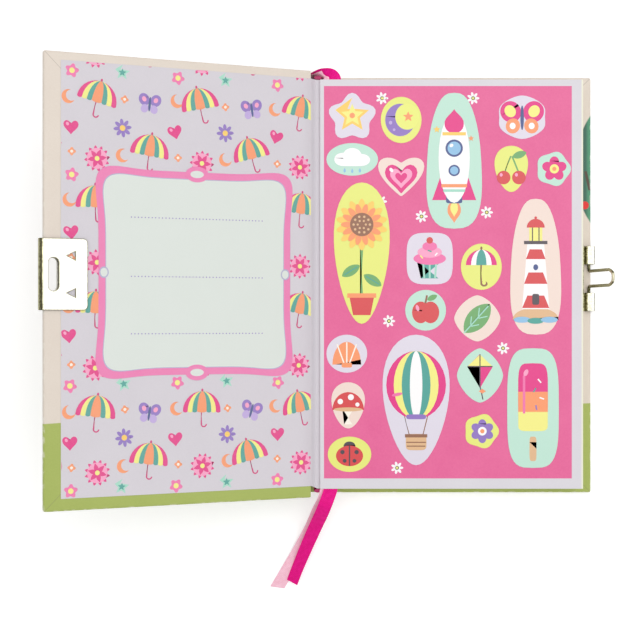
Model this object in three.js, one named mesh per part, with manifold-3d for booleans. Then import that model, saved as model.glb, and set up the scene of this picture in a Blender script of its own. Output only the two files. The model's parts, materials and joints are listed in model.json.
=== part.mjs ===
// A small hardback secret diary that lies open at its sticker sheet. Sizes are in millimetres, +Z is up.
// The origin is the middle of the back cover's underside. +X points to the back cover's fore edge and
// +Y to the head of the book.

import * as THREE from 'three';
import { mergeVertices } from 'three/addons/utils/BufferGeometryUtils.js';
import Module from 'manifold-3d';

const wasm = await Module();
wasm.setup();

// Cover boards and the paper round them
const coverHeight = 157;
const coverWidth = 98.7;
const boardThickness = 1.8;
const wrapThickness = 0.25;
const turnInWidth = 15;
const cornerRadius = 0.8;
const mitreGap = 0.15;
const mitreStop = 0.5;
const pastedownThickness = 0.15;
const pastedownForeMargin = 5.9;
const pastedownHeadMargin = 3;
const pastedownTailMargin = 4.3;
const glueGap = 0.05;

// The two joints, where the covers turn
const jointWidth = 3.54;
const hingeInset = 0.8;
const openAngle = 156.3;

// Pages
const pageHeight = 150.6;
const foreSquare = 5.7;
const sectionCount = 8;
const sectionThickness = 1.52;
const foldRadius = 0.7;
const spineSetBack = 1.26;
const flyleafThickness = 0.15;
const leafGap = 0.05;
const blockClearance = 0.1;
const endpaperFoldThickness = 0.15;

// Spine
const liningThickness = 0.3;
const bandTapeThickness = 0.3;
const bandTapeLength = 8;
const bandRoundWidth = 3;
const bandRoundHeight = 1.6;
const spinePaperThickness = 0.25;
const spineInlayThickness = 0.4;
const spineBow = 7.6;
const spineInlayStart = 0.29;
const spineInlayEnd = 0.75;

// Sticker sheet
const sheetThickness = 0.25;
const sheetGutterOffset = 0.2;
const stickerThickness = 0.1;
const stickerGap = 0.03;
const printWidth = 91.8;
const printHeight = 145;
const printGutterMargin = 1.4;
const printHeadMargin = 2.4;

// Ribbon markers
const ribbonWidth = 5;
const ribbonThickness = 0.2;
const ribbonGap = 0.08;

// Lock plates and the wire loop
const lockCentreY = 2.4;
const plateHeight = 24.5;
const plateLeaf = 15.1;
const plateThickness = 0.5;
const plateCornerRadius = 1.5;
const plateBendRadius = 0.9;
const frontOverhang = 1.5;
const backOverhang = 1.2;
const closedClearance = 0.3;
const slotWidth = 3.6;
const slotLength = 11.4;
const slotInset = 3.3;
const slotClearance = 0.3;
const prongInset = 10.8;
const prongSpacing = 12.8;
const prongLength = 3;
const prongWidth = 2.9;
const prongDepth = 1.6;
const prongThickness = 0.4;
const prongClearance = 0.2;
const wireDiameter = 1.2;
const wireClearance = 0.15;
const knuckleGap = 10.8;
const knuckleBendRadius = 0.5;
const pinInset = 0.85;
const pinReach = 10.6;
const loopLength = 21.3;
const loopSpread = 5.7;
const loopBendRadius = 1;
const loopTipWidth = 3;
const loopTipTaper = 3;
const loopLean = 13;
const recessClearance = 0.1;

// How far a cutting shape runs past what it cuts
const cutMargin = 2;

// Facets
const arcSteps = 5;
const slotSteps = 8;
const foldSteps = 8;
const spineSteps = 48;
const wireSteps = 90;
const ribbonSteps = 60;
const ribbonTailSteps = 24;
const stickerSteps = 40;

// Levels in a cover, measured from its hinge's axis, with the inner face up
const innerFace = -hingeInset;
const turnInTop = innerFace - pastedownThickness - glueGap;
const boardTop = turnInTop - wrapThickness - glueGap;
const boardBottom = boardTop - boardThickness;
const outerFace = boardBottom - glueGap - wrapThickness;
const coverThickness = innerFace - outerFace;
const foreEdge = jointWidth + coverWidth;
const coverEnd = coverHeight / 2;

// Levels in the pages, measured from the table
const blockBottom = coverThickness + glueGap + plateThickness + blockClearance;
const sectionsBottom = blockBottom + flyleafThickness + leafGap;
const sectionsTop = sectionsBottom + sectionCount * (sectionThickness + leafGap) - leafGap;
const flyleafBottom = sectionsTop + leafGap;
const flyleafTop = flyleafBottom + flyleafThickness;
const paleLevel = flyleafTop + ribbonGap + ribbonThickness / 2;
const magentaLevel = paleLevel + ribbonThickness + ribbonGap;
const sheetBottom = magentaLevel + ribbonThickness / 2 + 2 * ribbonGap;
const sheetTop = sheetBottom + sheetThickness;
const stickerTop = sheetTop + stickerGap + stickerThickness;
const closedInnerFace = stickerTop + closedClearance + plateThickness + glueGap;

// Places of the two hinges and of the pages
const hingeX = -(coverWidth / 2 + jointWidth);
const backHingeZ = coverThickness + hingeInset;
const frontHingeZ = closedInnerFace - hingeInset;
const pageForeX = coverWidth / 2 - foreSquare;
const pageSpineX = hingeX - spineSetBack;
const pageEnd = pageHeight / 2;

// Colours
const creamPaper = { color: 0xe4d8cc, roughness: 0.75, metalness: 0 };
const greyBoard = { color: 0xb9ad9a, roughness: 0.9, metalness: 0 };
const printedPaper = { color: 0xddd6e0, roughness: 0.7, metalness: 0 };
const pagePaper = { color: 0xf6f4ee, roughness: 0.8, metalness: 0 };
const pinkPaper = { color: 0xee69a3, roughness: 0.45, metalness: 0 };
const nickel = { color: 0xd9d5c4, roughness: 0.25, metalness: 1 };
const magentaSatin = { color: 0xe6007d, roughness: 0.5, metalness: 0 };
const paleSatin = { color: 0xf8b4c8, roughness: 0.5, metalness: 0 };
const liningCloth = { color: 0xe9e4da, roughness: 0.9, metalness: 0 };

const mint = 0xbee1d2;
const yellow = 0xe4e873;
const lilac = 0xded8e2;
const peach = 0xeedad0;

function toSolid(geometry) {
  const bare = geometry.clone();
  bare.deleteAttribute('normal');
  bare.deleteAttribute('uv');
  const merged = mergeVertices(bare, 1e-4);
  return new wasm.Manifold(new wasm.Mesh({
    numProp: 3,
    vertProperties: new Float32Array(merged.attributes.position.array),
    triVerts: new Uint32Array(merged.index.array),
  }));
}

function toGeometry(solid) {
  const mesh = solid.getMesh();
  const geometry = new THREE.BufferGeometry();
  geometry.setAttribute('position', new THREE.BufferAttribute(mesh.vertProperties, 3));
  geometry.setIndex(new THREE.BufferAttribute(mesh.triVerts, 1));
  return geometry;
}

function cut(body, tools) {
  return toGeometry(tools.reduce((left, tool) => left.subtract(toSolid(tool)), toSolid(body)));
}

function join(first, ...others) {
  return toGeometry(others.reduce((whole, next) => whole.add(toSolid(next)), toSolid(first)));
}

function box([x0, x1], [y0, y1], [z0, z1]) {
  const geometry = new THREE.BoxGeometry(x1 - x0, y1 - y0, z1 - z0);
  return geometry.translate((x0 + x1) / 2, (y0 + y1) / 2, (z0 + z1) / 2);
}

// A shape drawn in X and Y, raised from z0 to z1
function upright(shape, z0, z1, curveSegments = arcSteps) {
  const settings = { depth: z1 - z0, bevelEnabled: false, curveSegments };
  return new THREE.ExtrudeGeometry(shape, settings).translate(0, 0, z0);
}

// A shape drawn in X and Z, drawn out from y0 to y1
function alongY(shape, y0, y1, curveSegments = arcSteps) {
  const settings = { depth: y1 - y0, bevelEnabled: false, curveSegments };
  return new THREE.ExtrudeGeometry(shape, settings).rotateX(Math.PI / 2).translate(0, y1, 0);
}

// The same piece on the other side of its hinge
function mirrored(geometry) {
  const turned = geometry.index ? geometry.clone() : mergeVertices(geometry);
  turned.scale(-1, 1, 1);
  const index = turned.index.array;
  for (let i = 0; i < index.length; i += 3) {
    [index[i + 1], index[i + 2]] = [index[i + 2], index[i + 1]];
  }
  return turned;
}

// A line through corners that are rounded to one radius
function roundedLine(corners, radius) {
  const line = [corners[0].clone()];
  for (let i = 1; i < corners.length - 1; i += 1) {
    const back = corners[i - 1].clone().sub(corners[i]).normalize();
    const ahead = corners[i + 1].clone().sub(corners[i]).normalize();
    const half = Math.acos(THREE.MathUtils.clamp(back.dot(ahead), -1, 1)) / 2;
    const toCentre = back.clone().add(ahead).normalize();
    const centre = corners[i].clone().addScaledVector(toCentre, radius / Math.sin(half));
    const start = corners[i].clone().addScaledVector(back, radius / Math.tan(half));
    const turn = Math.sign(back.y * ahead.x - back.x * ahead.y) * (Math.PI - 2 * half);
    for (let step = 0; step <= arcSteps; step += 1) {
      line.push(start.clone().rotateAround(centre, (turn * step) / arcSteps));
    }
  }
  line.push(corners[corners.length - 1].clone());
  return line;
}

// The outline of sheet material of one thickness that follows a line
function sheetAlong(line, thickness) {
  const sides = line.map((point, i) => {
    const before = line[Math.max(i - 1, 0)];
    const after = line[Math.min(i + 1, line.length - 1)];
    const into = point.clone().sub(before).normalize();
    const out = after.clone().sub(point).normalize();
    const along = into.clone().add(out).normalize();
    const spread = thickness / 2 / Math.max(along.dot(out.lengthSq() ? out : into), 0.5);
    const side = new THREE.Vector2(-along.y, along.x).multiplyScalar(spread);
    return [point.clone().add(side), point.clone().sub(side)];
  });
  const outline = [...sides.map(([left]) => left), ...sides.map(([, right]) => right).reverse()];
  return new THREE.Shape(outline);
}

function stadium(centreX, centreY, width, length) {
  const radius = width / 2;
  const straight = length / 2 - radius;
  const shape = new THREE.Shape();
  shape.absarc(centreX, centreY + straight, radius, 0, Math.PI);
  shape.absarc(centreX, centreY - straight, radius, Math.PI, 2 * Math.PI);
  shape.closePath();
  return shape;
}

function named(name, geometry, finish) {
  const material = new THREE.MeshStandardMaterial({ ...finish, flatShading: true });
  const mesh = new THREE.Mesh(geometry, material);
  mesh.name = name;
  return mesh;
}

// Cover paper: it goes round the board's head, tail and fore edge, and is turned in with mitred corners
function wrapGeometry() {
  const shape = new THREE.Shape();
  shape.moveTo(jointWidth, -coverEnd);
  shape.lineTo(foreEdge - cornerRadius, -coverEnd);
  shape.absarc(foreEdge - cornerRadius, cornerRadius - coverEnd, cornerRadius, -Math.PI / 2, 0);
  shape.absarc(foreEdge - cornerRadius, coverEnd - cornerRadius, cornerRadius, 0, Math.PI / 2);
  shape.lineTo(jointWidth, coverEnd);
  shape.closePath();
  const skin = wrapThickness;
  const cavity = box(
    [jointWidth - cutMargin, foreEdge - skin],
    [skin - coverEnd, coverEnd - skin],
    [outerFace + skin, turnInTop - skin],
  );
  const window = box(
    [jointWidth - cutMargin, foreEdge - turnInWidth],
    [turnInWidth - coverEnd, coverEnd - turnInWidth],
    [boardTop, turnInTop + cutMargin],
  );
  const mitres = [-1, 1].map((end) => {
    const reach = turnInWidth * Math.SQRT2 - 2 * mitreStop;
    const depths = [turnInTop - skin - glueGap / 2, 0];
    const saw = box([-reach / 2, reach / 2], [-mitreGap / 2, mitreGap / 2], depths);
    saw.rotateZ((end * Math.PI) / 4);
    return saw.translate(foreEdge - turnInWidth / 2, end * (coverEnd - turnInWidth / 2), 0);
  });
  return cut(upright(shape, outerFace, turnInTop), [cavity, window, ...mitres]);
}

function boardGeometry() {
  const inset = wrapThickness + glueGap;
  return box([jointWidth, foreEdge - inset], [inset - coverEnd, coverEnd - inset], [boardBottom, boardTop]);
}

function pastedownGeometry() {
  return box(
    [jointWidth, foreEdge - pastedownForeMargin],
    [pastedownTailMargin - coverEnd, coverEnd - pastedownHeadMargin],
    [innerFace - pastedownThickness, innerFace],
  );
}

// Cuts that round the free corners of a lock plate's leaves
function leafCorners() {
  return [-1, 1].map((end) => {
    const x = foreEdge - plateLeaf;
    const y = lockCentreY + (end * plateHeight) / 2;
    const arc = [];
    for (let step = 0; step <= arcSteps; step += 1) {
      const angle = (Math.PI / 2) * (step / arcSteps);
      arc.push(new THREE.Vector2(
        x + plateCornerRadius * (1 - Math.sin(angle)),
        y - end * plateCornerRadius * (1 - Math.cos(angle)),
      ));
    }
    const outside = [
      new THREE.Vector2(x - cutMargin, y - end * plateCornerRadius),
      new THREE.Vector2(x - cutMargin, y + end * cutMargin),
      new THREE.Vector2(x + plateCornerRadius, y + end * cutMargin),
    ];
    return upright(new THREE.Shape([...arc, ...outside]), outerFace - cutMargin, cutMargin);
  });
}

const plateEnds = [lockCentreY - plateHeight / 2, lockCentreY + plateHeight / 2];
const innerLeafLevel = innerFace + glueGap + plateThickness / 2;
const slotX = foreEdge - slotInset;
const prongPlaces = [-1, 1].map((end) => lockCentreY + (end * prongSpacing) / 2);

// Hasp plate: one strip folded round the fore edge, with a slot through both leaves and two prongs that
// are lanced out of the inner leaf and bent down into the board
function haspGeometry() {
  const outerLeafLevel = outerFace - glueGap - plateThickness / 2;
  const foldX = foreEdge + frontOverhang - plateThickness / 2;
  const line = roundedLine([
    new THREE.Vector2(foreEdge - plateLeaf, innerLeafLevel),
    new THREE.Vector2(foldX, innerLeafLevel),
    new THREE.Vector2(foldX, outerLeafLevel),
    new THREE.Vector2(foreEdge - plateLeaf, outerLeafLevel),
  ], plateBendRadius);
  const blank = alongY(sheetAlong(line, plateThickness), ...plateEnds);
  const slotShape = stadium(slotX, lockCentreY, slotWidth, slotLength);
  const slot = upright(slotShape, outerFace - cutMargin, cutMargin, slotSteps);
  const baseX = foreEdge - prongInset;
  const windows = prongPlaces.map((y) => upright(new THREE.Shape([
    new THREE.Vector2(baseX, y - prongWidth / 2),
    new THREE.Vector2(baseX + prongLength, y),
    new THREE.Vector2(baseX, y + prongWidth / 2),
  ]), innerFace, cutMargin));
  const prongs = prongPlaces.map((y) => {
    const root = innerLeafLevel;
    const tip = innerFace - prongDepth;
    const tooth = new THREE.Shape([
      new THREE.Vector2(y - prongWidth / 2, root),
      new THREE.Vector2(y, tip),
      new THREE.Vector2(y + prongWidth / 2, root),
    ]);
    const settings = { depth: prongThickness, bevelEnabled: false };
    const geometry = new THREE.ExtrudeGeometry(tooth, settings).rotateX(Math.PI / 2).rotateZ(Math.PI / 2);
    return geometry.translate(baseX - prongThickness, 0, 0);
  });
  return join(cut(blank, [slot, ...leafCorners(), ...windows]), ...prongs);
}

// Room in the front cover for the slot and the prongs
function haspCuts() {
  const width = slotWidth + 2 * slotClearance;
  const length = slotLength + 2 * slotClearance;
  const slotShape = stadium(slotX, lockCentreY, width, length);
  const slot = upright(slotShape, outerFace - cutMargin, cutMargin, slotSteps);
  const baseX = foreEdge - prongInset;
  const halfWidth = prongWidth / 2 + prongClearance;
  const pockets = prongPlaces.map((y) => box(
    [baseX - prongThickness - prongClearance, baseX + prongClearance],
    [y - halfWidth, y + halfWidth],
    [innerFace - prongDepth - prongClearance, cutMargin],
  ));
  return [slot, ...pockets];
}

// Loop plate: the same fold round the back cover, raised at its ends into two knuckles for the wire's
// feet and cut away between them. Its outer leaf is pressed flush into the underside.
const pinX = foreEdge - pinInset;
const pinZ = turnInTop + wireClearance + wireDiameter / 2;
const knuckleReach = wireDiameter / 2 + wireClearance + plateThickness / 2;

function knucklePlateGeometry() {
  const outerLeafLevel = outerFace + plateThickness / 2;
  const roof = pinZ + knuckleReach;
  const foldX = foreEdge + backOverhang - plateThickness / 2;
  const line = roundedLine([
    new THREE.Vector2(foreEdge - plateLeaf, innerLeafLevel),
    new THREE.Vector2(pinX - 1.5 * knuckleReach, innerLeafLevel),
    new THREE.Vector2(pinX - knuckleReach, roof),
    new THREE.Vector2(foldX, roof),
    new THREE.Vector2(foldX, outerLeafLevel),
    new THREE.Vector2(foreEdge - plateLeaf, outerLeafLevel),
  ], knuckleBendRadius);
  const notch = box(
    [pinX - 2 * knuckleReach, foldX + cutMargin],
    [lockCentreY - knuckleGap / 2, lockCentreY + knuckleGap / 2],
    [outerFace - cutMargin, roof + cutMargin],
  );
  return cut(alongY(sheetAlong(line, plateThickness), ...plateEnds), [notch, ...leafCorners()]);
}

function plateRecess() {
  const room = recessClearance;
  return box(
    [foreEdge - plateLeaf - room, foreEdge + cutMargin],
    [plateEnds[0] - room, plateEnds[1] + room],
    [outerFace - cutMargin, outerFace + plateThickness + room],
  );
}

// Wire loop: its feet turn outwards into the knuckles, and its tip is bent square with soft corners
function wireLoopGeometry() {
  const arm = loopSpread / 2;
  const half = [
    [0, pinReach, 0],
    [0, arm, 0],
    [0, arm, loopLength - loopTipTaper],
    [0, loopTipWidth / 2, loopLength],
  ];
  const corners = [...half, ...half.map(([x, y, z]) => [x, -y, z]).reverse()]
    .map(([x, y, z]) => new THREE.Vector3(x, y, z));
  const path = new THREE.CurvePath();
  let from = corners[0];
  for (let i = 1; i < corners.length - 1; i += 1) {
    const back = corners[i - 1].clone().sub(corners[i]);
    const ahead = corners[i + 1].clone().sub(corners[i]);
    const reach = Math.min(loopBendRadius, back.length() / 2, ahead.length() / 2);
    const start = corners[i].clone().addScaledVector(back.normalize(), reach);
    const end = corners[i].clone().addScaledVector(ahead.normalize(), reach);
    path.add(new THREE.LineCurve3(from, start));
    path.add(new THREE.QuadraticBezierCurve3(start, corners[i], end));
    from = end;
  }
  path.add(new THREE.LineCurve3(from, corners[corners.length - 1]));
  const ring = new THREE.Shape();
  ring.absarc(0, 0, wireDiameter / 2, 0, 2 * Math.PI);
  const settings = { extrudePath: path, steps: wireSteps, curveSegments: 4, bevelEnabled: false };
  return new THREE.ExtrudeGeometry(ring, settings);
}

// Page section: folded sheets, round at the fold
function sectionGeometry(number) {
  const bottom = sectionsBottom + number * (sectionThickness + leafGap);
  const radius = Math.min(foldRadius, sectionThickness / 2);
  const shape = new THREE.Shape();
  shape.moveTo(pageForeX, bottom);
  shape.lineTo(pageForeX, bottom + sectionThickness);
  shape.lineTo(pageSpineX + radius, bottom + sectionThickness);
  shape.absarc(pageSpineX + radius, bottom + sectionThickness - radius, radius, Math.PI / 2, Math.PI);
  shape.absarc(pageSpineX + radius, bottom + radius, radius, Math.PI, 1.5 * Math.PI);
  shape.closePath();
  return alongY(shape, -pageEnd, pageEnd, 3);
}

function leafGeometry(bottom, thickness, gutterX) {
  return box([gutterX, pageForeX], [-pageEnd, pageEnd], [bottom, bottom + thickness]);
}

// Fold of an endpaper between a flyleaf and its pastedown
function endpaperFold(flyleafEdge, boardEdge, dip) {
  const curve = new THREE.QuadraticBezierCurve(flyleafEdge, dip, boardEdge);
  const ends = [pastedownTailMargin - coverEnd, coverEnd - pastedownHeadMargin];
  return alongY(sheetAlong(curve.getPoints(foldSteps), endpaperFoldThickness), ...ends);
}

// A place in the front cover, turned to where the open cover holds it
const tilt = THREE.MathUtils.degToRad(180 - openAngle);

function onOpenCover(distance, level) {
  return new THREE.Vector2(
    hingeX - distance * Math.cos(tilt) + level * Math.sin(tilt),
    frontHingeZ + distance * Math.sin(tilt) + level * Math.cos(tilt),
  );
}

// Spine of the case: cover paper from board to board, with a strip of flexible card inside it. With the
// front cover open, it bows away from the pages.
const spineLine = (() => {
  const start = new THREE.Vector2(hingeX + jointWidth - glueGap, glueGap + wrapThickness / 2);
  const end = onOpenCover(jointWidth - 2 * glueGap, outerFace + wrapThickness / 2);
  const rise = end.y - start.y;
  const points = [
    [start.x, start.y],
    [hingeX, start.y + glueGap],
    [hingeX - 0.58 * spineBow, start.y + 0.06 * rise],
    [hingeX - 0.93 * spineBow, start.y + 0.27 * rise],
    [hingeX - spineBow, start.y + 0.55 * rise],
    [hingeX - 0.82 * spineBow, start.y + 0.79 * rise],
    [end.x + spinePaperThickness, start.y + 0.93 * rise],
    [end.x, end.y],
  ].map(([x, z]) => new THREE.Vector3(x, z, 0));
  return new THREE.CatmullRomCurve3(points, false, 'centripetal')
    .getPoints(spineSteps)
    .map(({ x, y }) => new THREE.Vector2(x, y));
})();

function spinePaperGeometry() {
  return alongY(sheetAlong(spineLine, spinePaperThickness), -coverEnd, coverEnd);
}

function spineInlayGeometry() {
  const inside = (spinePaperThickness + spineInlayThickness) / 2 + glueGap;
  const middle = spineLine.slice(
    Math.round(spineInlayStart * spineSteps),
    Math.round(spineInlayEnd * spineSteps) + 1,
  );
  const line = middle.map((point, i) => {
    const along = middle[Math.min(i + 1, middle.length - 1)].clone().sub(middle[Math.max(i - 1, 0)]);
    const side = new THREE.Vector2(along.y, -along.x).normalize();
    return point.clone().addScaledVector(side, inside);
  });
  const end = coverEnd - wrapThickness - glueGap;
  return alongY(sheetAlong(line, spineInlayThickness), -end, end);
}

// Lining, glued over the folds and the bands' tapes
const bandTapeX = pageSpineX - glueGap - bandTapeThickness;

function liningGeometry() {
  const x = bandTapeX - glueGap;
  const end = pageEnd - bandRoundHeight;
  return box([x - liningThickness, x], [-end, end], [sectionsBottom, sectionsTop]);
}

// Head or tail band: a round bead on the ends of the folds, worked on a tape that is glued to the spine
function bandGeometry(end) {
  const bead = new THREE.Shape();
  const beadX = pageSpineX + bandRoundWidth / 2 - bandTapeThickness - bandRoundWidth / 3;
  const beadY = end * (pageEnd + glueGap + bandRoundHeight / 2);
  bead.absellipse(beadX, beadY, bandRoundWidth / 2, bandRoundHeight / 2, 0, 2 * Math.PI);
  const tapeEnds = [end * (pageEnd - bandTapeLength), beadY].sort((a, b) => a - b);
  const tape = box([bandTapeX, bandTapeX + bandTapeThickness], tapeEnds, [sectionsBottom, sectionsTop]);
  return join(upright(bead, sectionsBottom, sectionsTop, 8), tape);
}

// Ribbon: stations hold a point and the direction of the ribbon's width there
function ribbonGeometry(stations, steps) {
  const points = stations.map(([x, y, z]) => new THREE.Vector3(x, y, z));
  const widths = stations.map(([, , , x, y, z]) => new THREE.Vector3(x, y, z));
  const path = new THREE.CatmullRomCurve3(points);
  const across = new THREE.CatmullRomCurve3(widths);
  const corners = [];
  for (let step = 0; step <= steps; step += 1) {
    const tangent = path.getTangent(step / steps);
    const normal = tangent.clone().cross(across.getPoint(step / steps)).normalize();
    const wide = normal.clone().cross(tangent).multiplyScalar(ribbonWidth / 2);
    normal.multiplyScalar(ribbonThickness / 2);
    const centre = path.getPoint(step / steps);
    corners.push(centre.clone().sub(wide).sub(normal), centre.clone().add(wide).sub(normal));
    corners.push(centre.clone().add(wide).add(normal), centre.clone().sub(wide).add(normal));
  }
  const faces = [0, 2, 1, 0, 3, 2];
  for (let step = 0; step < steps; step += 1) {
    for (let side = 0; side < 4; side += 1) {
      const a = 4 * step + side;
      const b = 4 * step + ((side + 1) % 4);
      faces.push(a, b, b + 4, a, b + 4, a + 4);
    }
  }
  const last = 4 * steps;
  faces.push(last, last + 1, last + 2, last, last + 2, last + 3);
  const geometry = new THREE.BufferGeometry().setFromPoints(corners);
  geometry.setIndex(faces);
  return geometry;
}

// Routes of the ribbons: from the spine over the head into the gutter, and from the tail to the table.
// A station is a distance from the hinges, one past the ends of the leaves, a height as a share of the
// ribbon's level in the book, and the direction of its width.
function route(level, end, stations) {
  return stations.map(([across, past, height, ...width]) => [
    hingeX + across,
    end * (pageEnd + past),
    height * level,
    ...width,
  ]);
}

const magentaInBook = [
  ...route(magentaLevel, 1, [
    [-3.71, -6.3, 0.517, 0, 0, 1],
    [-3.71, -1.8, 0.517, 0, 0, 1],
    [-3.91, 2.6, 0.554, -0.2, -0.1, 1],
    [-2.31, 4.7, 0.722, -0.6, 0, 0.8],
    [1.59, 4.9, 0.939, -0.85, 0, 0.5],
    [4.29, 3.2, 1.041, -1, 0, 0.1],
    [4.99, 1.1, 1.018, -1, 0, 0],
    [5.09, -0.3, 1.002, -1, 0, 0],
    [5.09, -5.3, 1, -1, 0, 0],
    [5.09, -35.3, 1, -1, 0, 0],
    [5.09, -pageEnd, 1, -1, 0, 0],
  ]),
  ...route(magentaLevel, -1, [
    [5.09, -35.3, 1, -1, 0, 0],
    [5.09, -2.8, 1, -1, 0, 0],
  ]),
];
const paleInBook = [
  ...route(paleLevel, 1, [
    [-3.21, -6.3, 0.526, 0, 0, 1],
    [-3.21, -1.8, 0.526, 0, 0, 1],
    [-3.26, 1.7, 0.575, -0.2, -0.1, 1],
    [-1.71, 3.3, 0.734, -0.6, 0, 0.8],
    [0.39, 3.4, 0.8935, -0.85, 0, 0.5],
    [1.89, 2, 0.9945, -1, 0, 0.1],
    [2.29, 0.3, 1, -1, 0, 0],
    [2.34, -1.3, 1, -1, 0, 0],
    [2.34, -5.3, 1, -1, 0, 0],
    [2.34, -35.3, 1, -1, 0, 0],
    [2.34, -pageEnd, 1, -1, 0, 0],
  ]),
  ...route(paleLevel, -1, [
    [2.34, -35.3, 1, -1, 0, 0],
    [2.34, -2.8, 1, -1, 0, 0],
  ]),
];
const magentaTail = route(magentaLevel, -1, [
  [5.09, -0.3, 1, -1, 0, 0],
  [4.79, 1.5, 1, -0.98, 0.2, 0],
  [3.89, 3.8, 1.006, -0.95, 0.33, 0],
  [2.79, 6.4, 0.992, -0.92, 0.39, 0],
  [1.39, 9.5, 0.86, -0.92, 0.39, 0],
  [-0.81, 14.5, 0.57, -0.9, 0.4, -0.12],
  [-4.41, 22.9, 0.277, -0.84, 0.38, -0.34],
  [-8.01, 31.2, 0.132, -0.76, 0.35, -0.5],
  [-10.71, 37.4, 0.117, -0.75, 0.33, -0.52],
]);
const paleTail = route(paleLevel, -1, [
  [2.34, -0.3, 1, -1, 0, 0],
  [1.99, 1.5, 1, -0.98, 0.2, 0],
  [1.39, 5, 0.992, -0.95, 0.33, 0],
  [-0.71, 9.4, 0.74, -0.91, 0.42, 0],
  [-4.81, 15.9, 0.318, -0.91, 0.42, 0],
  [-9.21, 24.7, 0.0673, -0.9, 0.4, 0],
  [-13.21, 33.1, 0.0184, -0.92, 0.36, 0],
  [-16.41, 39.5, 0.0122, -0.95, 0.3, 0],
]);

// Outlines of the stickers, cut a little outside their pictures. Each is drawn round its own middle.
function ringOutline(radiusAt) {
  const points = [];
  for (let step = 0; step < stickerSteps; step += 1) {
    const angle = (2 * Math.PI * step) / stickerSteps;
    const [x, y] = radiusAt(angle);
    points.push(new THREE.Vector2(x, y));
  }
  return new THREE.Shape(points);
}

const outlines = {
  oval: (w, h) => ringOutline((a) => [(w / 2) * Math.cos(a), (h / 2) * Math.sin(a)]),
  block: (w, h) => ringOutline((a) => [
    (w / 2) * Math.sign(Math.cos(a)) * Math.abs(Math.cos(a)) ** 0.55,
    (h / 2) * Math.sign(Math.sin(a)) * Math.abs(Math.sin(a)) ** 0.55,
  ]),
  petals: (w, h) => ringOutline((a) => [
    (w / 2) * Math.cos(a) * (0.94 + 0.06 * Math.cos(5 * a)),
    (h / 2) * Math.sin(a) * (0.94 + 0.06 * Math.cos(5 * a)),
  ]),
  star: (w, h) => ringOutline((a) => [
    (w / 2) * Math.cos(a) * (0.87 + 0.13 * Math.sin(5 * a)),
    (h / 2) * Math.sin(a) * (0.87 + 0.13 * Math.sin(5 * a)),
  ]),
  heart: (w, h) => ringOutline((a) => [
    (w / 2) * (0.75 * Math.sin(a) ** 3 + 0.25 * Math.sin(a)),
    (h / 2) * (0.87 * Math.cos(a) - 0.3 * Math.cos(2 * a) - 0.1 * Math.cos(3 * a) + 0.13),
  ]),
  wings: (w, h) => ringOutline((a) => [
    (w / 2) * Math.cos(a) * (0.92 + 0.08 * Math.cos(4 * a - Math.PI)),
    (h / 2) * Math.sin(a) * (0.9 - 0.1 * Math.cos(2 * a)),
  ]),
  drop: (w, h) => ringOutline((a) => [
    (w / 2) * Math.cos(a) * (0.8 + 0.2 * Math.sin(a)),
    (h / 2) * Math.sin(a),
  ]),
  spire: (w, h) => ringOutline((a) => [
    (w / 2) * Math.sign(Math.cos(a)) * Math.abs(Math.cos(a)) ** 0.7 * (0.83 - 0.17 * Math.sin(a)),
    (h / 2) * Math.sign(Math.sin(a)) * Math.abs(Math.sin(a)) ** 0.8,
  ]),
  flag: (w, h) => ringOutline((a) => [
    (w / 2) * Math.sign(Math.cos(a)) * Math.abs(Math.cos(a)) ** 1.3,
    (h / 2) * Math.sign(Math.sin(a)) * Math.abs(Math.sin(a)) ** 1.3,
  ]),
};

// Stickers: name, outline, middle measured from the middle of the printed area, width, height, backing
const stickers = [
  ['rocket', 'spire', 2, 45, 24, 50, mint],
  ['sunflower', 'drop', -32, 11, 25, 52, yellow],
  ['lighthouse', 'spire', 32, 6, 22, 50, peach],
  ['air_balloon', 'drop', -12, -43, 30, 48, lilac],
  ['ice_lolly', 'block', 31, -46, 19, 44, mint],
  ['star', 'star', -35.5, 61, 18, 18, lilac],
  ['moon', 'oval', -17.5, 60, 15, 17, yellow],
  ['heart', 'heart', -17.5, 39.5, 17, 16, peach],
  ['cloud', 'oval', -35.5, 45.5, 19, 12, mint],
  ['butterfly', 'wings', 27, 61, 20, 16, lilac],
  ['cherries', 'drop', 23, 42, 15, 17, yellow],
  ['pink_flower', 'petals', 38.5, 42, 13, 13, mint],
  ['cupcake', 'block', -7, 9, 17, 19, lilac],
  ['umbrella', 'oval', 12, 6, 15, 17, yellow],
  ['apple', 'oval', -8.5, -10, 15, 15, mint],
  ['leaf', 'flag', 10.5, -13, 17, 17, peach],
  ['shell', 'oval', -37.5, -26, 15, 14, lilac],
  ['mushroom', 'drop', -37, -45, 15, 17, peach],
  ['ladybird', 'oval', -36.5, -63, 16, 13, yellow],
  ['kite', 'flag', 11.5, -34, 17, 20, mint],
  ['lilac_flower', 'petals', 12, -54.5, 13, 13, yellow],
];

const printCentreX = hingeX - sheetGutterOffset + printGutterMargin + printWidth / 2;
const printCentreY = pageEnd - printHeadMargin - printHeight / 2;

const diary = new THREE.Group();

function cover(group, front) {
  const side = front ? 'front' : 'back';
  const cuts = front ? haspCuts() : [plateRecess()];
  const lockPlate = front ? haspGeometry() : knucklePlateGeometry();
  const pieces = [
    [`${side}_board`, cut(boardGeometry(), cuts), greyBoard],
    [`${side}_cover_paper`, cut(wrapGeometry(), cuts), creamPaper],
    [`${side}_pastedown`, front ? cut(pastedownGeometry(), cuts) : pastedownGeometry(), printedPaper],
    [`${side}_lock_plate`, lockPlate, nickel],
  ];
  for (const [name, geometry, finish] of pieces) {
    group.add(named(name, front ? mirrored(geometry) : geometry, finish));
  }
  diary.add(group);
}

const backCover = new THREE.Group();
backCover.position.set(hingeX, 0, backHingeZ);
cover(backCover, false);

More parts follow.
